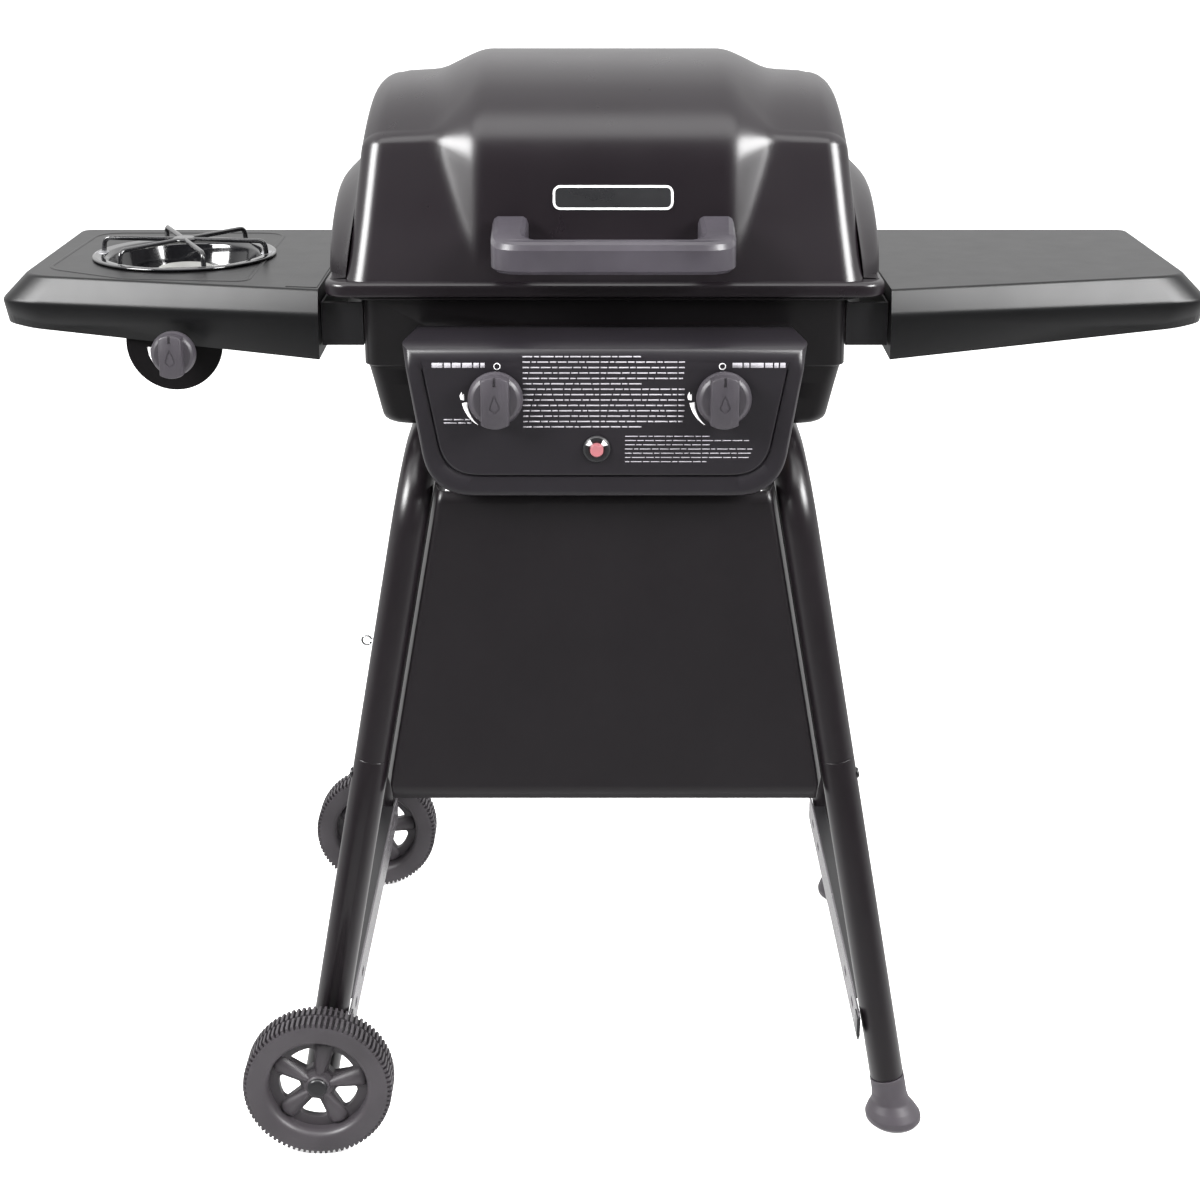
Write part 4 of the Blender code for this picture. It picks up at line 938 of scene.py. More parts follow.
def build_marks():
    """Printed marks without lettering: rings, tapering arcs, rows of plain dashes and wedges."""
    bm = bmesh.new()
    front, sunk = PANEL_Y - 0.12, PANEL_Y + 0.3
    for side in (-1, 1):
        x = knob_x(side)
        spot = (x - side * 1.5, 825.8)
        prism(bm, circle(3.2, 24, spot), front, sunk, "Y", [circle(2.5, 24, spot)])
        sweep_mark = arc(32.0, 191, 238, 14, (x, KNOB_Z)) + arc(31.7, 238, 191, 14, (x, KNOB_Z), 27.1)
        prism(bm, sweep_mark, front, sunk, "Y")
        tip = [(x - 29.4, KNOB_Z - 3.6), (x - 32.8, KNOB_Z - 2.8), (x - 33.4, KNOB_Z + 0.8),
               (x - 31.6, KNOB_Z + 5.0), (x - 31.2, KNOB_Z + 1.4), (x - 29.4, KNOB_Z + 2.8)]
        prism(bm, filleted(tip, [0.8, 1, 1.4, 0.2, 0.4, 0.4], 3, closed=True), front, sunk, "Y")
    place(to_object("knob_marks", bm, WHITE_INK, 0), "stand")
    bm = bmesh.new()
    dashes = (9, 5, 12, 7, 4, 10, 6, 8)
    # each row of dashes: left end, right end, foot, height, and whether it stops short
    blocks = [(-76.0, 74.0, 834.5 - 5.15 * i, 1.2, i in (0, 5, 13)) for i in range(14)]
    blocks += [(19.0, 138.0, 758.6 - 4.1 * i, 0.8, i in (0, 2, 6)) for i in range(7)]
    blocks += [(-150.0, -124.0, 774.6 - 3.2 * i, 1.0, False) for i in range(2)]
    blocks += [(-160.0, -111.0, 824.6, 4.6, False), (118.0, 167.0, 824.6, 4.6, False)]
    for number, (x, stop, z, tall, short) in enumerate(blocks):
        i = number * 3
        stop -= 40.0 if short else 0.0
        while x < stop - 3:
            end = x + min(dashes[i % len(dashes)], stop - x)
            prism(bm, [(x, z), (end, z), (end, z + tall), (x, z + tall)], front, sunk, "Y")
            x = end + 1.4
            i += 1
    place(to_object("panel_marks", bm, PALE_INK, 0), "stand")
    bm = bmesh.new()
    spot = (IGNITER_X, IGNITER_Z)
    for turn in (40, 140):
        wedge = arc(11.2, turn - 16, turn + 16, 1, spot) + arc(6.6, turn + 13, turn - 13, 1, spot)
        prism(bm, wedge, PANEL_Y - 3.35, PANEL_Y - 2.8, "Y")
    place(to_object("igniter_marks", bm, WHITE_INK, 0), "stand")
    bm = bmesh.new()
    spot = (SIDE_KNOB_X, SIDE_KNOB_Z)
    sweep_mark = arc(31.0, 180, 235, 10, spot) + arc(30.7, 235, 180, 10, spot, 27.1)
    prism(bm, sweep_mark, SIDE_PLATE_Y - 0.15, SIDE_PLATE_Y + 0.3, "Y")
    place(to_object("side_mark", bm, WHITE_INK, 0), "stand")


def build_knob(word, x, z, front, back, radius):
    """Moulded knob: flared skirt and a wide grip bar with a pointer slot and a drop in a hollow."""
    depth = back - front
    face = front + depth * 0.48
    profile = [(0, face), (radius * 0.80, face + 1.0), (radius * 0.92, face + 3.2), (radius, back - 3.6),
               (radius, back), (radius - 2.4, back), (radius - 2.8, back - 4.0),
               (6.5, back - 4.0), (6.5, back), (4.3, back), (4.3, back - STEM_DEPTH), (0, back - STEM_DEPTH)]
    profile = filleted(profile, [0, 2.5, 3, 2, 0.6, 0.4, 0.4, 0.4, 0.3, 0.3, 0, 0], 3)
    ob = turned(f"knob_grip_{word}", profile, (x, 0, z), "Y", KNOB_PLASTIC, 72, 38)
    half = radius * 0.52
    reach = radius - 0.6
    spans = [half * (1 - 2 * i / 8) for i in range(9)]
    outline = [(x + a, z + math.sqrt(reach ** 2 - a * a)) for a in spans]
    outline += [(x - a, z - math.sqrt(reach ** 2 - a * a)) for a in spans]
    bm = bmesh.new()
    rings = []
    for scale_x, scale_z, y in ((1.0, 1.0, face + 2.6), (0.97, 0.99, front + 2.0),
                                (0.93, 0.97, front + 0.6), (0.86, 0.93, front)):
        rings.append([(x + (a - x) * scale_x, y, z + (b - z) * scale_z) for a, b in outline])
    solid(bm, rings)
    boolean(ob, to_object("grip", bm, KNOB_PLASTIC, 38), "UNION")
    cutter = bmesh.new()
    box(cutter, x - 1.3, x + 1.3, front - 1, front + 1.2, z + radius * 0.62, z + radius * 1.1)
    hollow = [(x - 5.5, z - 5), (x, z - 10), (x + 5.5, z - 5), (x + 2.6, z + 3), (x, z + 9), (x - 2.6, z + 3)]
    prism(cutter, filleted(hollow, 2.5, 4, closed=True), front - 1, front + 0.55, "Y")
    boolean(ob, to_object("cut", cutter, KNOB_PLASTIC, 38))
    bm = bmesh.new()
    drop = [(x - 3.8, z - 4.8), (x, z - 7.6), (x + 3.8, z - 4.8), (x + 1.6, z + 2), (x, z + 6),
            (x - 1.6, z + 2)]
    prism(bm, filleted(drop, 1.8, 4, closed=True), front + 0.1, front + 0.8, "Y")
    boolean(ob, to_object("pointer", bm, KNOB_PLASTIC, 38), "UNION")
    ob.data.shade_smooth()
    ob.data.set_sharp_from_angle(angle=math.radians(38))
    place(ob, f"{word}_knob", f"knob_{word}")


def build_igniter():
    """Igniter bezel, barrel and the red button."""
    front, floor = PANEL_Y - 3.2, -248.0
    rear = floor + 4
    profile = filleted([(0, floor), (6.6, floor), (6.6, front + 0.5), (8.4, front), (11.2, front),
                        (12.8, front + 1.6), (12.8, PANEL_Y - GAP), (10.6, PANEL_Y - GAP), (10.6, rear),
                        (0, rear)], [0, 0, 0.8, 1, 1.4, 1, 0, 0, 0, 0], 3)
    bezel = turned("igniter_bezel", profile, (IGNITER_X, 0, IGNITER_Z), "Y", TRIM_PLASTIC)
    place(bezel, "stand", "igniter_housing")
    front = PANEL_Y - 7.6
    profile = [(0, front + 0.9), (2.5, front + 0.75), (4.6, front + 0.2), (5.3, front), (5.9, front + 0.3),
               (6.3, front + 1.2), (6.3, front + 24), (0, front + 24)]
    cap = turned("igniter_cap", profile, (IGNITER_X, 0, IGNITER_Z), "Y", RED_PLASTIC, 48)
    place(cap, "igniter_push_button", "igniter_button")


# ---------------------------------------------------------------- shelves and side burner

def shelf_rings(side):
    """Top outline and the two edge rings of a shelf, from its inner back corner round the front."""
    inner, outer, tip = SHELF_IN_X, SHELF_TOP_X, SHELF_TIP_X
    near, far, back = SHELF_FRONT_IN, SHELF_FRONT_OUT, SHELF_BACK
    top = [(inner, back, SHELF_Z), (inner, near, SHELF_Z), (outer - 26, far - 5, SHELF_Z),
           (outer - 8, far + 4, SHELF_Z), (outer, far + 18, SHELF_Z), (outer, back, SHELF_Z)]
    edge = [(inner, back + 3, 858), (inner, near - 7, 858), (tip - 32, far - 13, 856),
            (tip - 7, far - 1, 856), (tip, far + 20, 855), (tip - 10, back + 3, 856)]
    apron = [(inner, back + 3, 820), (inner, near - 7, 814), (tip - 36, far - 11, 830),
             (tip - 11, far + 1, 833), (tip - 4, far + 22, 833), (tip - 14, back + 3, 833)]
    rows = []
    for row in (top, edge, apron):
        smooth = []
        for i, point in enumerate(row):
            here = Vector(point)
            if i in (0, 1):
                smooth.append(here)
                continue
            ends = []
            for beside in (Vector(row[i - 1]), Vector(row[(i + 1) % 6])):
                share = 0.42 if i == 3 else min(0.42, 12.0 / (here - beside).length)
                ends.append(here.lerp(beside, share))
            smooth += curve(ends[0], here, ends[1], 4)
        rows.append([Vector((side * p.x, p.y, p.z)) for p in smooth])
    return rows


def build_shelf(word, side):
    """Pressed side shelf with rounded edges; the left one carries the burner's opening."""
    top, edge, apron = shelf_rings(side)
    middle = Vector((side * 430, -30, SHELF_Z))
    inset = 2.6
    columns = []
    for i, (high, turn, low) in enumerate(zip(top, edge, apron)):
        start = high - (high - middle).normalized() * inset
        if i in (0, 1):
            start = high + Vector((0, -inset if i == 0 else inset, 0))
        columns.append([start, *curve(start, high, high.lerp(turn, 0.1), 4),
                        *curve(turn.lerp(high, 0.11), turn, turn.lerp(low, 0.08), 4), low])
    rows = list(zip(*columns))
    bm = bmesh.new()
    verts = skin(bm, rows, close_rows=True)
    bm.faces.new(verts[0])
    ob = to_object(f"shelf_top_{word}", bm, SHELF_PAINT, 55)
    thicken(ob, 1.5, (side * 430, -30, 800), even=False)
    settle(ob)
    if side < 0:
        drill(ob, "Z", 25, (83.0, (BURNER_X, BURNER_Y, SHELF_Z)), count=96)
    shade_flat(ob, 0.9995, (0, 0, 1), (0, 0, -1))
    place(ob, "stand", f"shelf_{word}")


def build_shelf_details():
    """Inner seam strip and the shallow pressed outline round the side burner."""
    bm = bmesh.new()
    x0, x1 = -(SHELF_IN_X + 1.5), -(SHELF_IN_X + 33.0)
    strip = [(x0, SHELF_BACK - 8), (x1, SHELF_BACK - 8), (x1, SHELF_FRONT_IN + 14), (x0, SHELF_FRONT_IN + 8)]
    prism(bm, strip, SHELF_Z - 0.4, SHELF_Z + 0.55)
    ob = bevelled(to_object("shelf_seam_strip", bm, SHELF_PAINT, 0), 0.5, 2)
    place(ob, "stand")
    outline = filleted([(-552, 112), (-558, -96), (-470, -150), (-348, -163), (-348, 112)],
                       [30, 34, 26, 14, 30], 8, closed=True)
    path = [Vector((x, y, SHELF_Z + 0.02)) for x, y in outline]
    section = ((-3.2, -0.5), (-1.4, 0.45), (0.0, 0.62), (1.4, 0.45), (3.2, -0.5))
    rows = []
    for i, point in enumerate(path):
        along = (path[(i + 1) % len(path)] - path[i - 1]).normalized()
        out = Vector((along.y, -along.x, 0))
        rows.append([point + out * a + Vector((0, 0, b)) for a, b in section])
    bm = bmesh.new()
    verts = skin(bm, rows, close_rows=True)
    band(bm, verts[-1], verts[0])
    place(to_object("shelf_bead", bm, SHELF_PAINT, 0), "stand")


def build_side_burner():
    """Enamelled bowl with a rolled lip, its burner head, the wire pot support and clips."""
    lip = SHELF_Z + GAP
    outer = [(82, lip), (RING_R - 2.5, lip), (RING_R, lip + 1.2), (RING_R - 0.6, lip + 2.9),
             (RING_R - 3.5, lip + 3.5), (82, lip + 2.6), (77, lip - 1.5), (66.5, lip - 34), (60, lip - 40.5),
             (52, lip - 42), (20, lip - 42), (20, lip - 44), (54, lip - 44), (62, lip - 43), (68.5, lip - 36),
             (79, lip - 3)]
    profile = filleted(outer, [1, 1, 1.2, 1.2, 3, 4, 4, 8, 6, 5, 0.4, 0.4, 5, 6, 8, 2], 4, closed=True)
    spot = Vector((BURNER_X, BURNER_Y, 0))
    bowl = turned("burner_bowl", profile, spot, "Z", BOWL_ENAMEL, 112, ring=True)
    place(bowl, "stand", "side_burner_bowl")
    floor = lip - 42
    profile = [(0, floor - 24), (12, floor - 24), (14, floor - 22), (14, floor + GAP), (22, floor + 3),
               (26, floor + 10), (26, floor + 13), (24.6, floor + 14), (24.6, floor + 20), (26, floor + 21),
               (26, floor + 24), (29, floor + 26), (29.4, floor + 28.4), (27, floor + 30.5),
               (20, floor + 31.6), (0, floor + 32.4)]
    profile = filleted(profile, [0, 0.8, 1, 0, 2, 2, 0.5, 0.4, 0.4, 0.5, 0.6, 1, 1.4, 2, 4, 0], 3)
    bm = bmesh.new()
    lathe(bm, profile, spot, "Z", 72)
    for i in range(30):
        with_turn(bm, math.tau * i / 30, spot,
                  lambda: box(bm, 23.8, 25.6, -1.1, 1.1, floor + 15, floor + 19.4))
    place(to_object("burner_head", bm, ALLOY), "stand", "side_burner_head")
    top, foot, radius = SHELF_Z + 17.0, SHELF_Z + 3.9, 85.0
    bm = bmesh.new()
    hub = [(0, top - 3.0), (10, top - 3.0), (12.5, top - 1.2), (12.5, top + 0.8), (10, top + 2.4),
           (0, top + 2.6)]
    lathe(bm, filleted(hub, 1.4, 3), spot, "Z", 48)
    for i in range(6):
        angle = math.radians(60 * i - 7)
        out = Vector((math.cos(angle), math.sin(angle), 0))
        start = spot + out * 4 + Vector((0, 0, top))
        corner = spot + out * radius + Vector((0, 0, top))
        end = spot + out * (radius + 1.5) + Vector((0, 0, foot))
        sweep(bm, [start, *arc_corner(start, corner, end, 7.0, 8), end], 2.5, 16)
    place(to_object("pot_wires", bm, WIRE_ENAMEL), "pot_grid", "pot_support")
    bm = bmesh.new()
    clip = filleted([(79.5, -9), (92.5, -7), (92.5, 7), (79.5, 9)], 3, 4, closed=True)
    for angle in (0, math.pi):
        with_turn(bm, angle, spot, lambda: prism(bm, clip, lip + 2.2, lip + 3.4))
    place(bevelled(to_object("bowl_clips", bm, ZINC, 0), 0.5, 2), "stand")


def build_side_plate():
    """Half-round plate under the shelf's edge that carries the side knob."""
    outline = arc(47.3, 165, 375, 48, (-423.0, 819.0))
    bm = bmesh.new()
    prism(bm, outline, SIDE_PLATE_Y, SIDE_PLATE_Y + 3.0, "Y", [circle(6.0, 32, (SIDE_KNOB_X, SIDE_KNOB_Z))])
    ob = bevelled(to_object("side_plate", bm, BODY_PAINT, 0), 0.9, 3)
    place(ob, "stand", "side_knob_plate")


# ---------------------------------------------------------------- legs and running gear

def build_leg_frame(word, side):
    """Upper tube frame with its two bends."""
    low, top = JOINT_Z, FRAME_TOP_Z
    points = [(side * leg_x(low), -LEG_Y, low), (side * leg_x(top), -LEG_Y, top),
              (side * leg_x(top), LEG_Y, top), (side * leg_x(low), LEG_Y, low)]
    path = [points[0], *arc_corner(points[0], points[1], points[2], BEND_R, 16),
            *arc_corner(points[1], points[2], points[3], BEND_R, 16), points[3]]
    bm = bmesh.new()
    sweep(bm, path, TUBE_R, 40, TUBE_R - 1.6)
    place(to_object(f"tube_frame_{word}", bm, LEG_PAINT), "stand", f"leg_frame_{word}")


def build_lower_leg(name, side, end):
    """Lower leg with the narrow neck that plugs into the frame, and its screw."""
    low = LEG_END[side]
    direction = Vector((side * -SPLAY, 0, 1)).normalized()
    foot = Vector((side * leg_x(low), end * LEG_Y, low))
    length = (JOINT_Z - low) / direction.z
    neck = TUBE_R - 2.6
    profile = [(0, 0), (TUBE_R, 0), (TUBE_R, length - GAP), (neck, length - GAP), (neck, length + 30),
               (neck - 1.5, length + 30), (neck - 1.5, 6), (0, 6)]
    profile = filleted(profile, [0, 1.5, 0.8, 0, 0.5, 0.5, 0, 0], 3)
    bm = bmesh.new()
    lathe(bm, profile, (0, 0, 0), "Z", 48)
    turn = Vector((0, 0, 1)).rotation_difference(direction).to_matrix().to_4x4()
    bm.transform(Matrix.Translation(foot) @ turn)
    ob = to_object(f"{name}_tube", bm, LEG_PAINT)
    if side < 0:
        drill(ob, "Y", 30, (AXLE_R + GAP, (WHEEL_X, end * LEG_Y, WHEEL_R)))
    place(ob, "stand", name)
    bm = bmesh.new()
    z = JOINT_Z - 21
    across = Vector((side, 0, SPLAY)).normalized()
    screw(bm, Vector((side * leg_x(z), end * LEG_Y, z)) + across * (TUBE_R - 0.4), across)
    place(to_object(f"{name}_screw", bm, TRIM_PLASTIC), "stand")


def build_foot(name, end):
    """Moulded foot: a flared cap with a bead, fitted over the leg's end."""
    x, y = leg_x(0), end * LEG_Y
    profile = [(0, 0), (24.5, 0), (29, 5), (29, 11), (25, 19), (20, 27), (18.4, 36),
               (18.3, FOOT_TOP), (0, FOOT_TOP)]
    bm = bmesh.new()
    lathe(bm, filleted(profile, [0, 3, 4, 5, 9, 9, 8, 0.6, 0], 5), (x, y, 0), "Z", 64)
    for vert in bm.verts:
        if vert.co.z > FOOT_TOP - 1.2:
            vert.co.z += SPLAY * (vert.co.x - x)
        if vert.co.z > 1:
            vert.co.x -= SPLAY * vert.co.z
    place(to_object(f"{name}_cap", bm, FOOT_PLASTIC), "stand", name)


def build_rail(word, side):
    """Low angle rail: a web painted light grey as a painted highlight of its lit face, with slots near its
    ends, a dark flange, and a moulded end cap.
    """
    z0, z1, thickness, reach = RAIL_LOW, RAIL_HIGH, 2.0, 14.0
    outer = leg_x(z1) - TUBE_R - 0.6
    inner = outer - thickness
    low, high = sorted((side * outer, side * inner))
    middle = (z0 + z1) / 2
    bm = bmesh.new()
    prism(bm, rounded_rect(LEG_Y + 14, middle - z0, 4, 4, (0, middle)), low, high, "X")
    # the web's light grey colour is a painted highlight, not the rail's own paint
    ob = to_object(f"low_rail_{word}", bm, RAIL_HIGHLIGHT_PAINT, 0)
    cutter = bmesh.new()
    for y in (-214, -150, 150, 214):
        slot = [(y - 9, middle - 3), (y + 9, middle - 3), (y + 9, middle + 3), (y - 9, middle + 3)]
        prism(cutter, filleted(slot, 2.9, 4, closed=True), low - thickness, high + thickness, "X")
    boolean(ob, to_object("cut", cutter, RAIL_HIGHLIGHT_PAINT))
    bevelled(ob, 0.4, 2)
    place(ob, "stand", f"side_rail_{word}")
    bm = bmesh.new()
    run = LEG_Y - TUBE_R - 3.0
    low, high = sorted((side * (inner + 0.5), side * (outer + reach)))
    box(bm, low, high, -run, run, z1 - thickness, z1 - 0.05)
    place(bevelled(to_object(f"rail_flange_{word}", bm, BRACKET_PAINT, 0), 0.5, 2), "stand")
    bm = bmesh.new()
    low, high = sorted((side * (outer + 0.4), side * (inner - 1.2)))
    box(bm, low, high, -LEG_Y - 15.5, -LEG_Y + 4, z0 + 6, z1 - 4)
    place(bevelled(to_object(f"rail_cap_{word}", bm, TRIM_PLASTIC, 0), 0.5, 2), "stand")


def build_wheel(word, end):
    """Moulded wheel: a two-row tread, dished rim, five flared spokes and a stepped hub."""
    y = end * WHEEL_Y
    half = WHEEL_W / 2
    centre = (WHEEL_X, WHEEL_R)
    lugs, parts = 84, 4
    total = lugs * parts
    depth = 4.0
    rows = []
    spans = [(50.6, half - 9, ()), (51.2, half - 4.5, ()), (53.5, half - 1.2, ()), (56.5, half, ()),
             (70.0, half, ()), (72.0, half - 0.3, ()), (WHEEL_R - 4.4, half - 0.5, ()),
             (WHEEL_R - 0.6, half - 1.4, (0, 1)), (WHEEL_R, half - 5, (0, 1)), (WHEEL_R, 1.2, (0, 1)),
             (WHEEL_R - depth, 0.5, ())]
    spans += [(radius, -off, (2, 3) if groove else ()) for radius, off, groove in reversed(spans)]
    for radius, off, groove in spans:
        row = []
        for i in range(total):
            phase = i % parts
            cut = depth if phase in groove else 0.0
            angle = math.tau * (i + (0.4 if phase in (1, 3) else -0.4)) / total
            x, z = polar(radius - cut, angle, centre)
            row.append(Vector((x, y + off, z)))
        rows.append(row)
    bm = bmesh.new()
    verts = skin(bm, rows, close_rows=True)
    band(bm, verts[0], verts[-1])
    tyre = to_object(f"tyre_{word}", bm, WHEEL_PLASTIC, 40)
    place(tyre, f"{word}_wheel", f"wheel_{word}")
    windows = []
    for i in range(5):
        middle = math.tau * (i + 0.5) / 5 + SPOKE_TURN
        corners = [(19.5, middle - 0.2), (19.5, middle + 0.2), (39, middle + 0.38)]
        corners += [(40.5, middle + 0.38 - 0.76 * k / 6) for k in range(1, 6)]
        corners.append((39, middle - 0.38))
        flat = [polar(radius, angle, centre) for radius, angle in corners]
        windows.append(filleted(flat, [3, 3, 4] + [0] * 5 + [4], 4, closed=True))
    bm = bmesh.new()
    prism(bm, circle(51.5, 80, centre), y - 4, y + 4, "Y", holes=[*windows, circle(AXLE_R + GAP, 32, centre)])
    web = bevelled(to_object(f"wheel_web_{word}", bm, WHEEL_PLASTIC, 0), 1.6, 3)
    place(web, f"{word}_wheel")
    bm = bmesh.new()
    for i in range(5):
        angle = math.tau * i / 5 + SPOKE_TURN
        out = Vector((math.cos(angle), 0, math.sin(angle)))
        across = Vector((-math.sin(angle), 0, math.cos(angle)))
        rings = []
        for radius, width, crest in ((9.0, 4.5, 11.5), (16, 6.0, 11.0), (26, 8.2, 10.0), (36, 10.4, 9.5),
                                     (43, 11.6, 9.5), (47, 10.5, 9.0), (49.5, 7.0, 7.0)):
            middle = Vector((WHEEL_X, y, WHEEL_R)) + out * radius
            rings.append([middle + across * width * a + Vector((0, crest * b, 0))
                          for a, b in circle(1.0, 20)])
        solid(bm, rings)
    place(to_object(f"wheel_spokes_{word}", bm, WHEEL_PLASTIC, 50), f"{word}_wheel")
    outer = half - 5
    profile = mirrored([(AXLE_R + GAP, -outer), (10.5, -outer), (12.0, -outer + 1.2), (12.8, -9),
                        (15.5, -8), (16.5, -4)])
    hub = turned(f"wheel_hub_{word}", profile, (WHEEL_X, y, WHEEL_R), "Y", WHEEL_PLASTIC, 56, ring=True)
    place(hub, f"{word}_wheel")
    y = end * (WHEEL_Y + half - 0.3)
    shape = filleted([(0, 0.0), (6.5, 0.3), (9.4, 1.2), (10.5, 2.8), (10.5, 4.2), (0, 4.2)],
                     [0, 2, 2, 1, 0, 0], 4)
    profile = [(r, -end * h) for r, h in shape]
    cap = turned(f"axle_cap_{word}", profile, (WHEEL_X, y, WHEEL_R), "Y", TRIM_PLASTIC, 48)
    place(cap, f"{word}_wheel", f"hub_cap_{word}")


# ---------------------------------------------------------------- shield and small parts

def build_shield():
    """Sheet between the front legs with folded sides and lower corners that curl in."""
    z0, z1 = 377.5, 698.0
    y, fold, slant, steps = -262.0, 22.0, 5.0, 24
    rows = []
    for i in range(steps + 1):
        z = z0 + (z1 - z0) * i / steps
        x = leg_x(z) - TUBE_R - 1.0
        curl = 10.0 * clamp(1 - (z - z0) / 14.0) ** 2
        corner = x - slant - curl * 0.2
        line = filleted([(x - curl, y + fold), (corner, y), (x - 60, y)], 6.0, 6)
        half = [Vector((a, b, z)) for a, b in line]
        rows.append([Vector((-p.x, p.y, p.z)) for p in half] + half[::-1])
    bm = bmesh.new()
    skin(bm, rows)
    ob = to_object("shield_sheet", bm, SHIELD_PAINT)
    thicken(ob, 0.9, (0, -200, 540))
    place(ob, "stand", "tank_shield")


def build_match_loop():
    """Chromed wire loop on the left front leg."""
    z = 541.0
    reach, radius, wire = 6.4, 4.6, 1.1
    x, y = -(leg_x(z) + TUBE_R + reach), -LEG_Y + 4
    ring = [Vector((a, y, b)) for a, b in arc(radius, 20, 340, 28, (x, z))]
    stem = [Vector((x + reach - 0.5, y, ring[0].z - 0.2)), Vector((x + radius + 0.8, y, ring[0].z - 0.1))]
    bm = bmesh.new()
    sweep(bm, [*stem, *ring], wire, 14)
    place(to_object("match_loop", bm, CHROME), "stand", "match_holder")


def dress_frame():
    """Finish the CAD nodes that stay as they are: material, bevel width, and names; * is each side."""
    kept = (
        (IRON, 1.2, "cooking_grate_*"),
        (IRON, 0, "grate_ledge"),
        (STEEL, 0, "warming_rack hinge_rod axle valve_stem_* valve_stem_side"),
        (ROLLED_STEEL, 0, "burner_*"),
        (ZINC, 0, "heat_tent_* grease_runner_* grease_tray gas_manifold"),
        (BRASS, 0, "valve_* valve_side gas_inlet"),
        (CERAMIC, 0, "spark_electrode"),
        (BRACKET_PAINT, 0.9, "shelf_bracket_*"),
        (BRACKET_PAINT, 0.8, "hinge_bracket_* lid_hinge_ear_*"),
        (BRACKET_PAINT, 0.7, "rear_brace"),
    )
    for material, width, names in kept:
        for name in names.split():
            for side in ("left", "right") if "*" in name else ("",):
                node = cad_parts[name.replace("*", side)]
                node.data.materials.clear()
                node.data.materials.append(material)
                if width:
                    bevelled(node, width, 2, 40)


# ---------------------------------------------------------------- studio

SENSOR = 36.0
LENS = 62.9946
CAMERA_TILT = 72.429        # degrees from straight down
CAMERA_SHIFT = -0.066708    # share of the picture's width


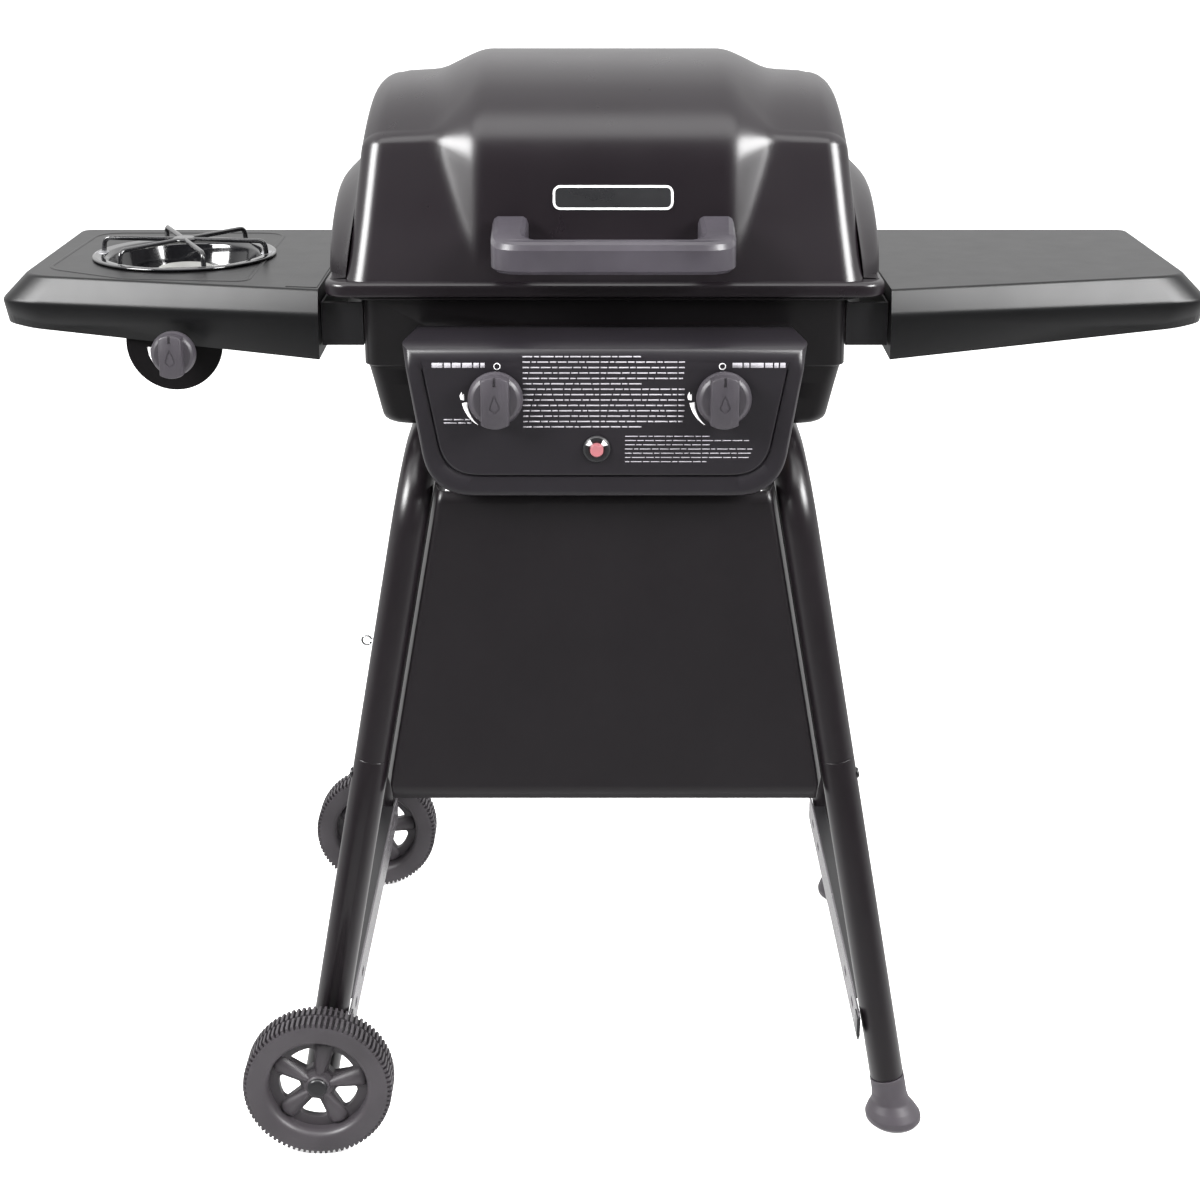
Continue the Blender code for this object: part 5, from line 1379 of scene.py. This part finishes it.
def build_studio():
    """Pale floor, a bright back, dark front and soft boxes, with the camera at its place."""
    size, drop = 60000.0, -0.2
    bm = bmesh.new()
    bm.faces.new([bm.verts.new((x * size, y * size, drop)) for x, y in ((-1, -1), (1, -1), (1, 1), (-1, 1))])
    floor_mat = bpy.data.materials.new("floor")
    floor_mat.use_nodes = True
    shader = floor_mat.node_tree.nodes["Principled BSDF"]
    tune(shader, {"Base Color": (0.86, 0.86, 0.86, 1.0), "Roughness": 0.9, "Specular IOR Level": 0.1,
                  "Emission Color": (1.0, 1.0, 1.0, 1.0), "Emission Strength": 0.6})
    floor = to_object("floor", bm, floor_mat, 0)
    floor.visible_glossy = False

    world = bpy.data.worlds.new("studio")
    world.use_nodes = True
    scene.world = world
    tree = world.node_tree
    background = tree.nodes["Background"]
    coords = tree.nodes.new("ShaderNodeTexCoord").outputs["Generated"]
    split = tree.nodes.new("ShaderNodeSeparateXYZ")
    tree.links.new(coords, split.inputs["Vector"])

    def ramp(source, start, stop, low, high):
        """A smooth step between two strengths."""
        node = tree.nodes.new("ShaderNodeMapRange")
        node.interpolation_type = "SMOOTHSTEP"
        tune(node, {"From Min": start, "From Max": stop, "To Min": low, "To Max": high})
        tree.links.new(source, node.inputs["Value"])
        return node.outputs["Result"]

    def combine(operation, one, two):
        """Two values added or multiplied."""
        node = tree.nodes.new("ShaderNodeMath")
        node.operation = operation
        tree.links.new(one, node.inputs[0])
        tree.links.new(two, node.inputs[1])
        return node.outputs["Value"]

    backwards = ramp(split.outputs["Y"], -0.64, 0.15, 0.02, 1.0)
    upwards = ramp(split.outputs["Z"], 0.05, 0.8, 0.8, 1.75)
    below = ramp(split.outputs["Z"], -0.28, -0.6, 0.0, 0.5)
    back = combine("MULTIPLY", backwards, upwards)
    tree.links.new(combine("ADD", back, below), background.inputs["Strength"])
    background.inputs["Color"].default_value = (1.0, 1.0, 1.0, 1.0)

    def soft_box(name, spot, target, width, height, power, shines=True):
        """An area light; one that doesn't shine is left out of the reflections."""
        light = bpy.data.lights.new(name, "AREA")
        light.shape = "RECTANGLE"
        light.size, light.size_y, light.energy = width, height, power
        ob = bpy.data.objects.new(name, light)
        ob.location = spot
        ob.rotation_euler = (Vector(target) - Vector(spot)).to_track_quat("-Z", "Y").to_euler()
        ob.visible_camera = False
        ob.visible_glossy = shines
        scene.collection.objects.link(ob)

    soft_box("overhead", (0.0, -0.1, 3.4), (0.0, 0.0, 0.9), 2.4, 1.6, 50, False)
    soft_box("left_box", (-2.5, -1.65, 2.4), (0.0, -0.2, 1.0), 1.5, 1.3, 205)
    soft_box("right_box", (2.5, -1.65, 2.4), (0.0, -0.2, 1.0), 1.5, 1.3, 200)
    soft_box("front_high", (0.0, -1.4, 3.2), (0.0, -0.2, 0.9), 3.0, 1.2, 44)

    camera_data = bpy.data.cameras.new("camera")
    camera = bpy.data.objects.new("camera", camera_data)
    camera.location = (-0.00445, -2.17942, 1.27635)
    camera.rotation_euler = (math.radians(CAMERA_TILT), 0, 0)
    camera_data.sensor_width = SENSOR
    camera_data.lens = LENS
    camera_data.shift_y = CAMERA_SHIFT
    camera_data.clip_end = 200.0
    scene.collection.objects.link(camera)
    scene.camera = camera
    scene.view_settings.view_transform = "Standard"
    scene.view_settings.look = "None"


build_studio()
build_lid()
build_handle()
build_badge()
build_firebox()
build_panel()
build_marks()
build_igniter()
build_knob("left", knob_x(-1), KNOB_Z, KNOB_FRONT, KNOB_BACK, KNOB_R)
build_knob("right", knob_x(1), KNOB_Z, KNOB_FRONT, KNOB_BACK, KNOB_R)
build_knob("side", SIDE_KNOB_X, SIDE_KNOB_Z, SIDE_KNOB_FRONT, SIDE_KNOB_BACK, SIDE_KNOB_R)
build_shelf("left", -1)
build_shelf("right", 1)
build_shelf_details()
build_side_burner()
build_side_plate()
for side, word in ((-1, "left"), (1, "right")):
    build_leg_frame(word, side)
    build_rail(word, side)
    for end, where in FRONT_REAR:
        build_lower_leg(f"lower_leg_{word}_{where}", side, end)
for end, where in FRONT_REAR:
    build_foot(f"foot_{where}", end)
    build_wheel(where, end)
build_shield()
build_match_loop()
dress_frame()
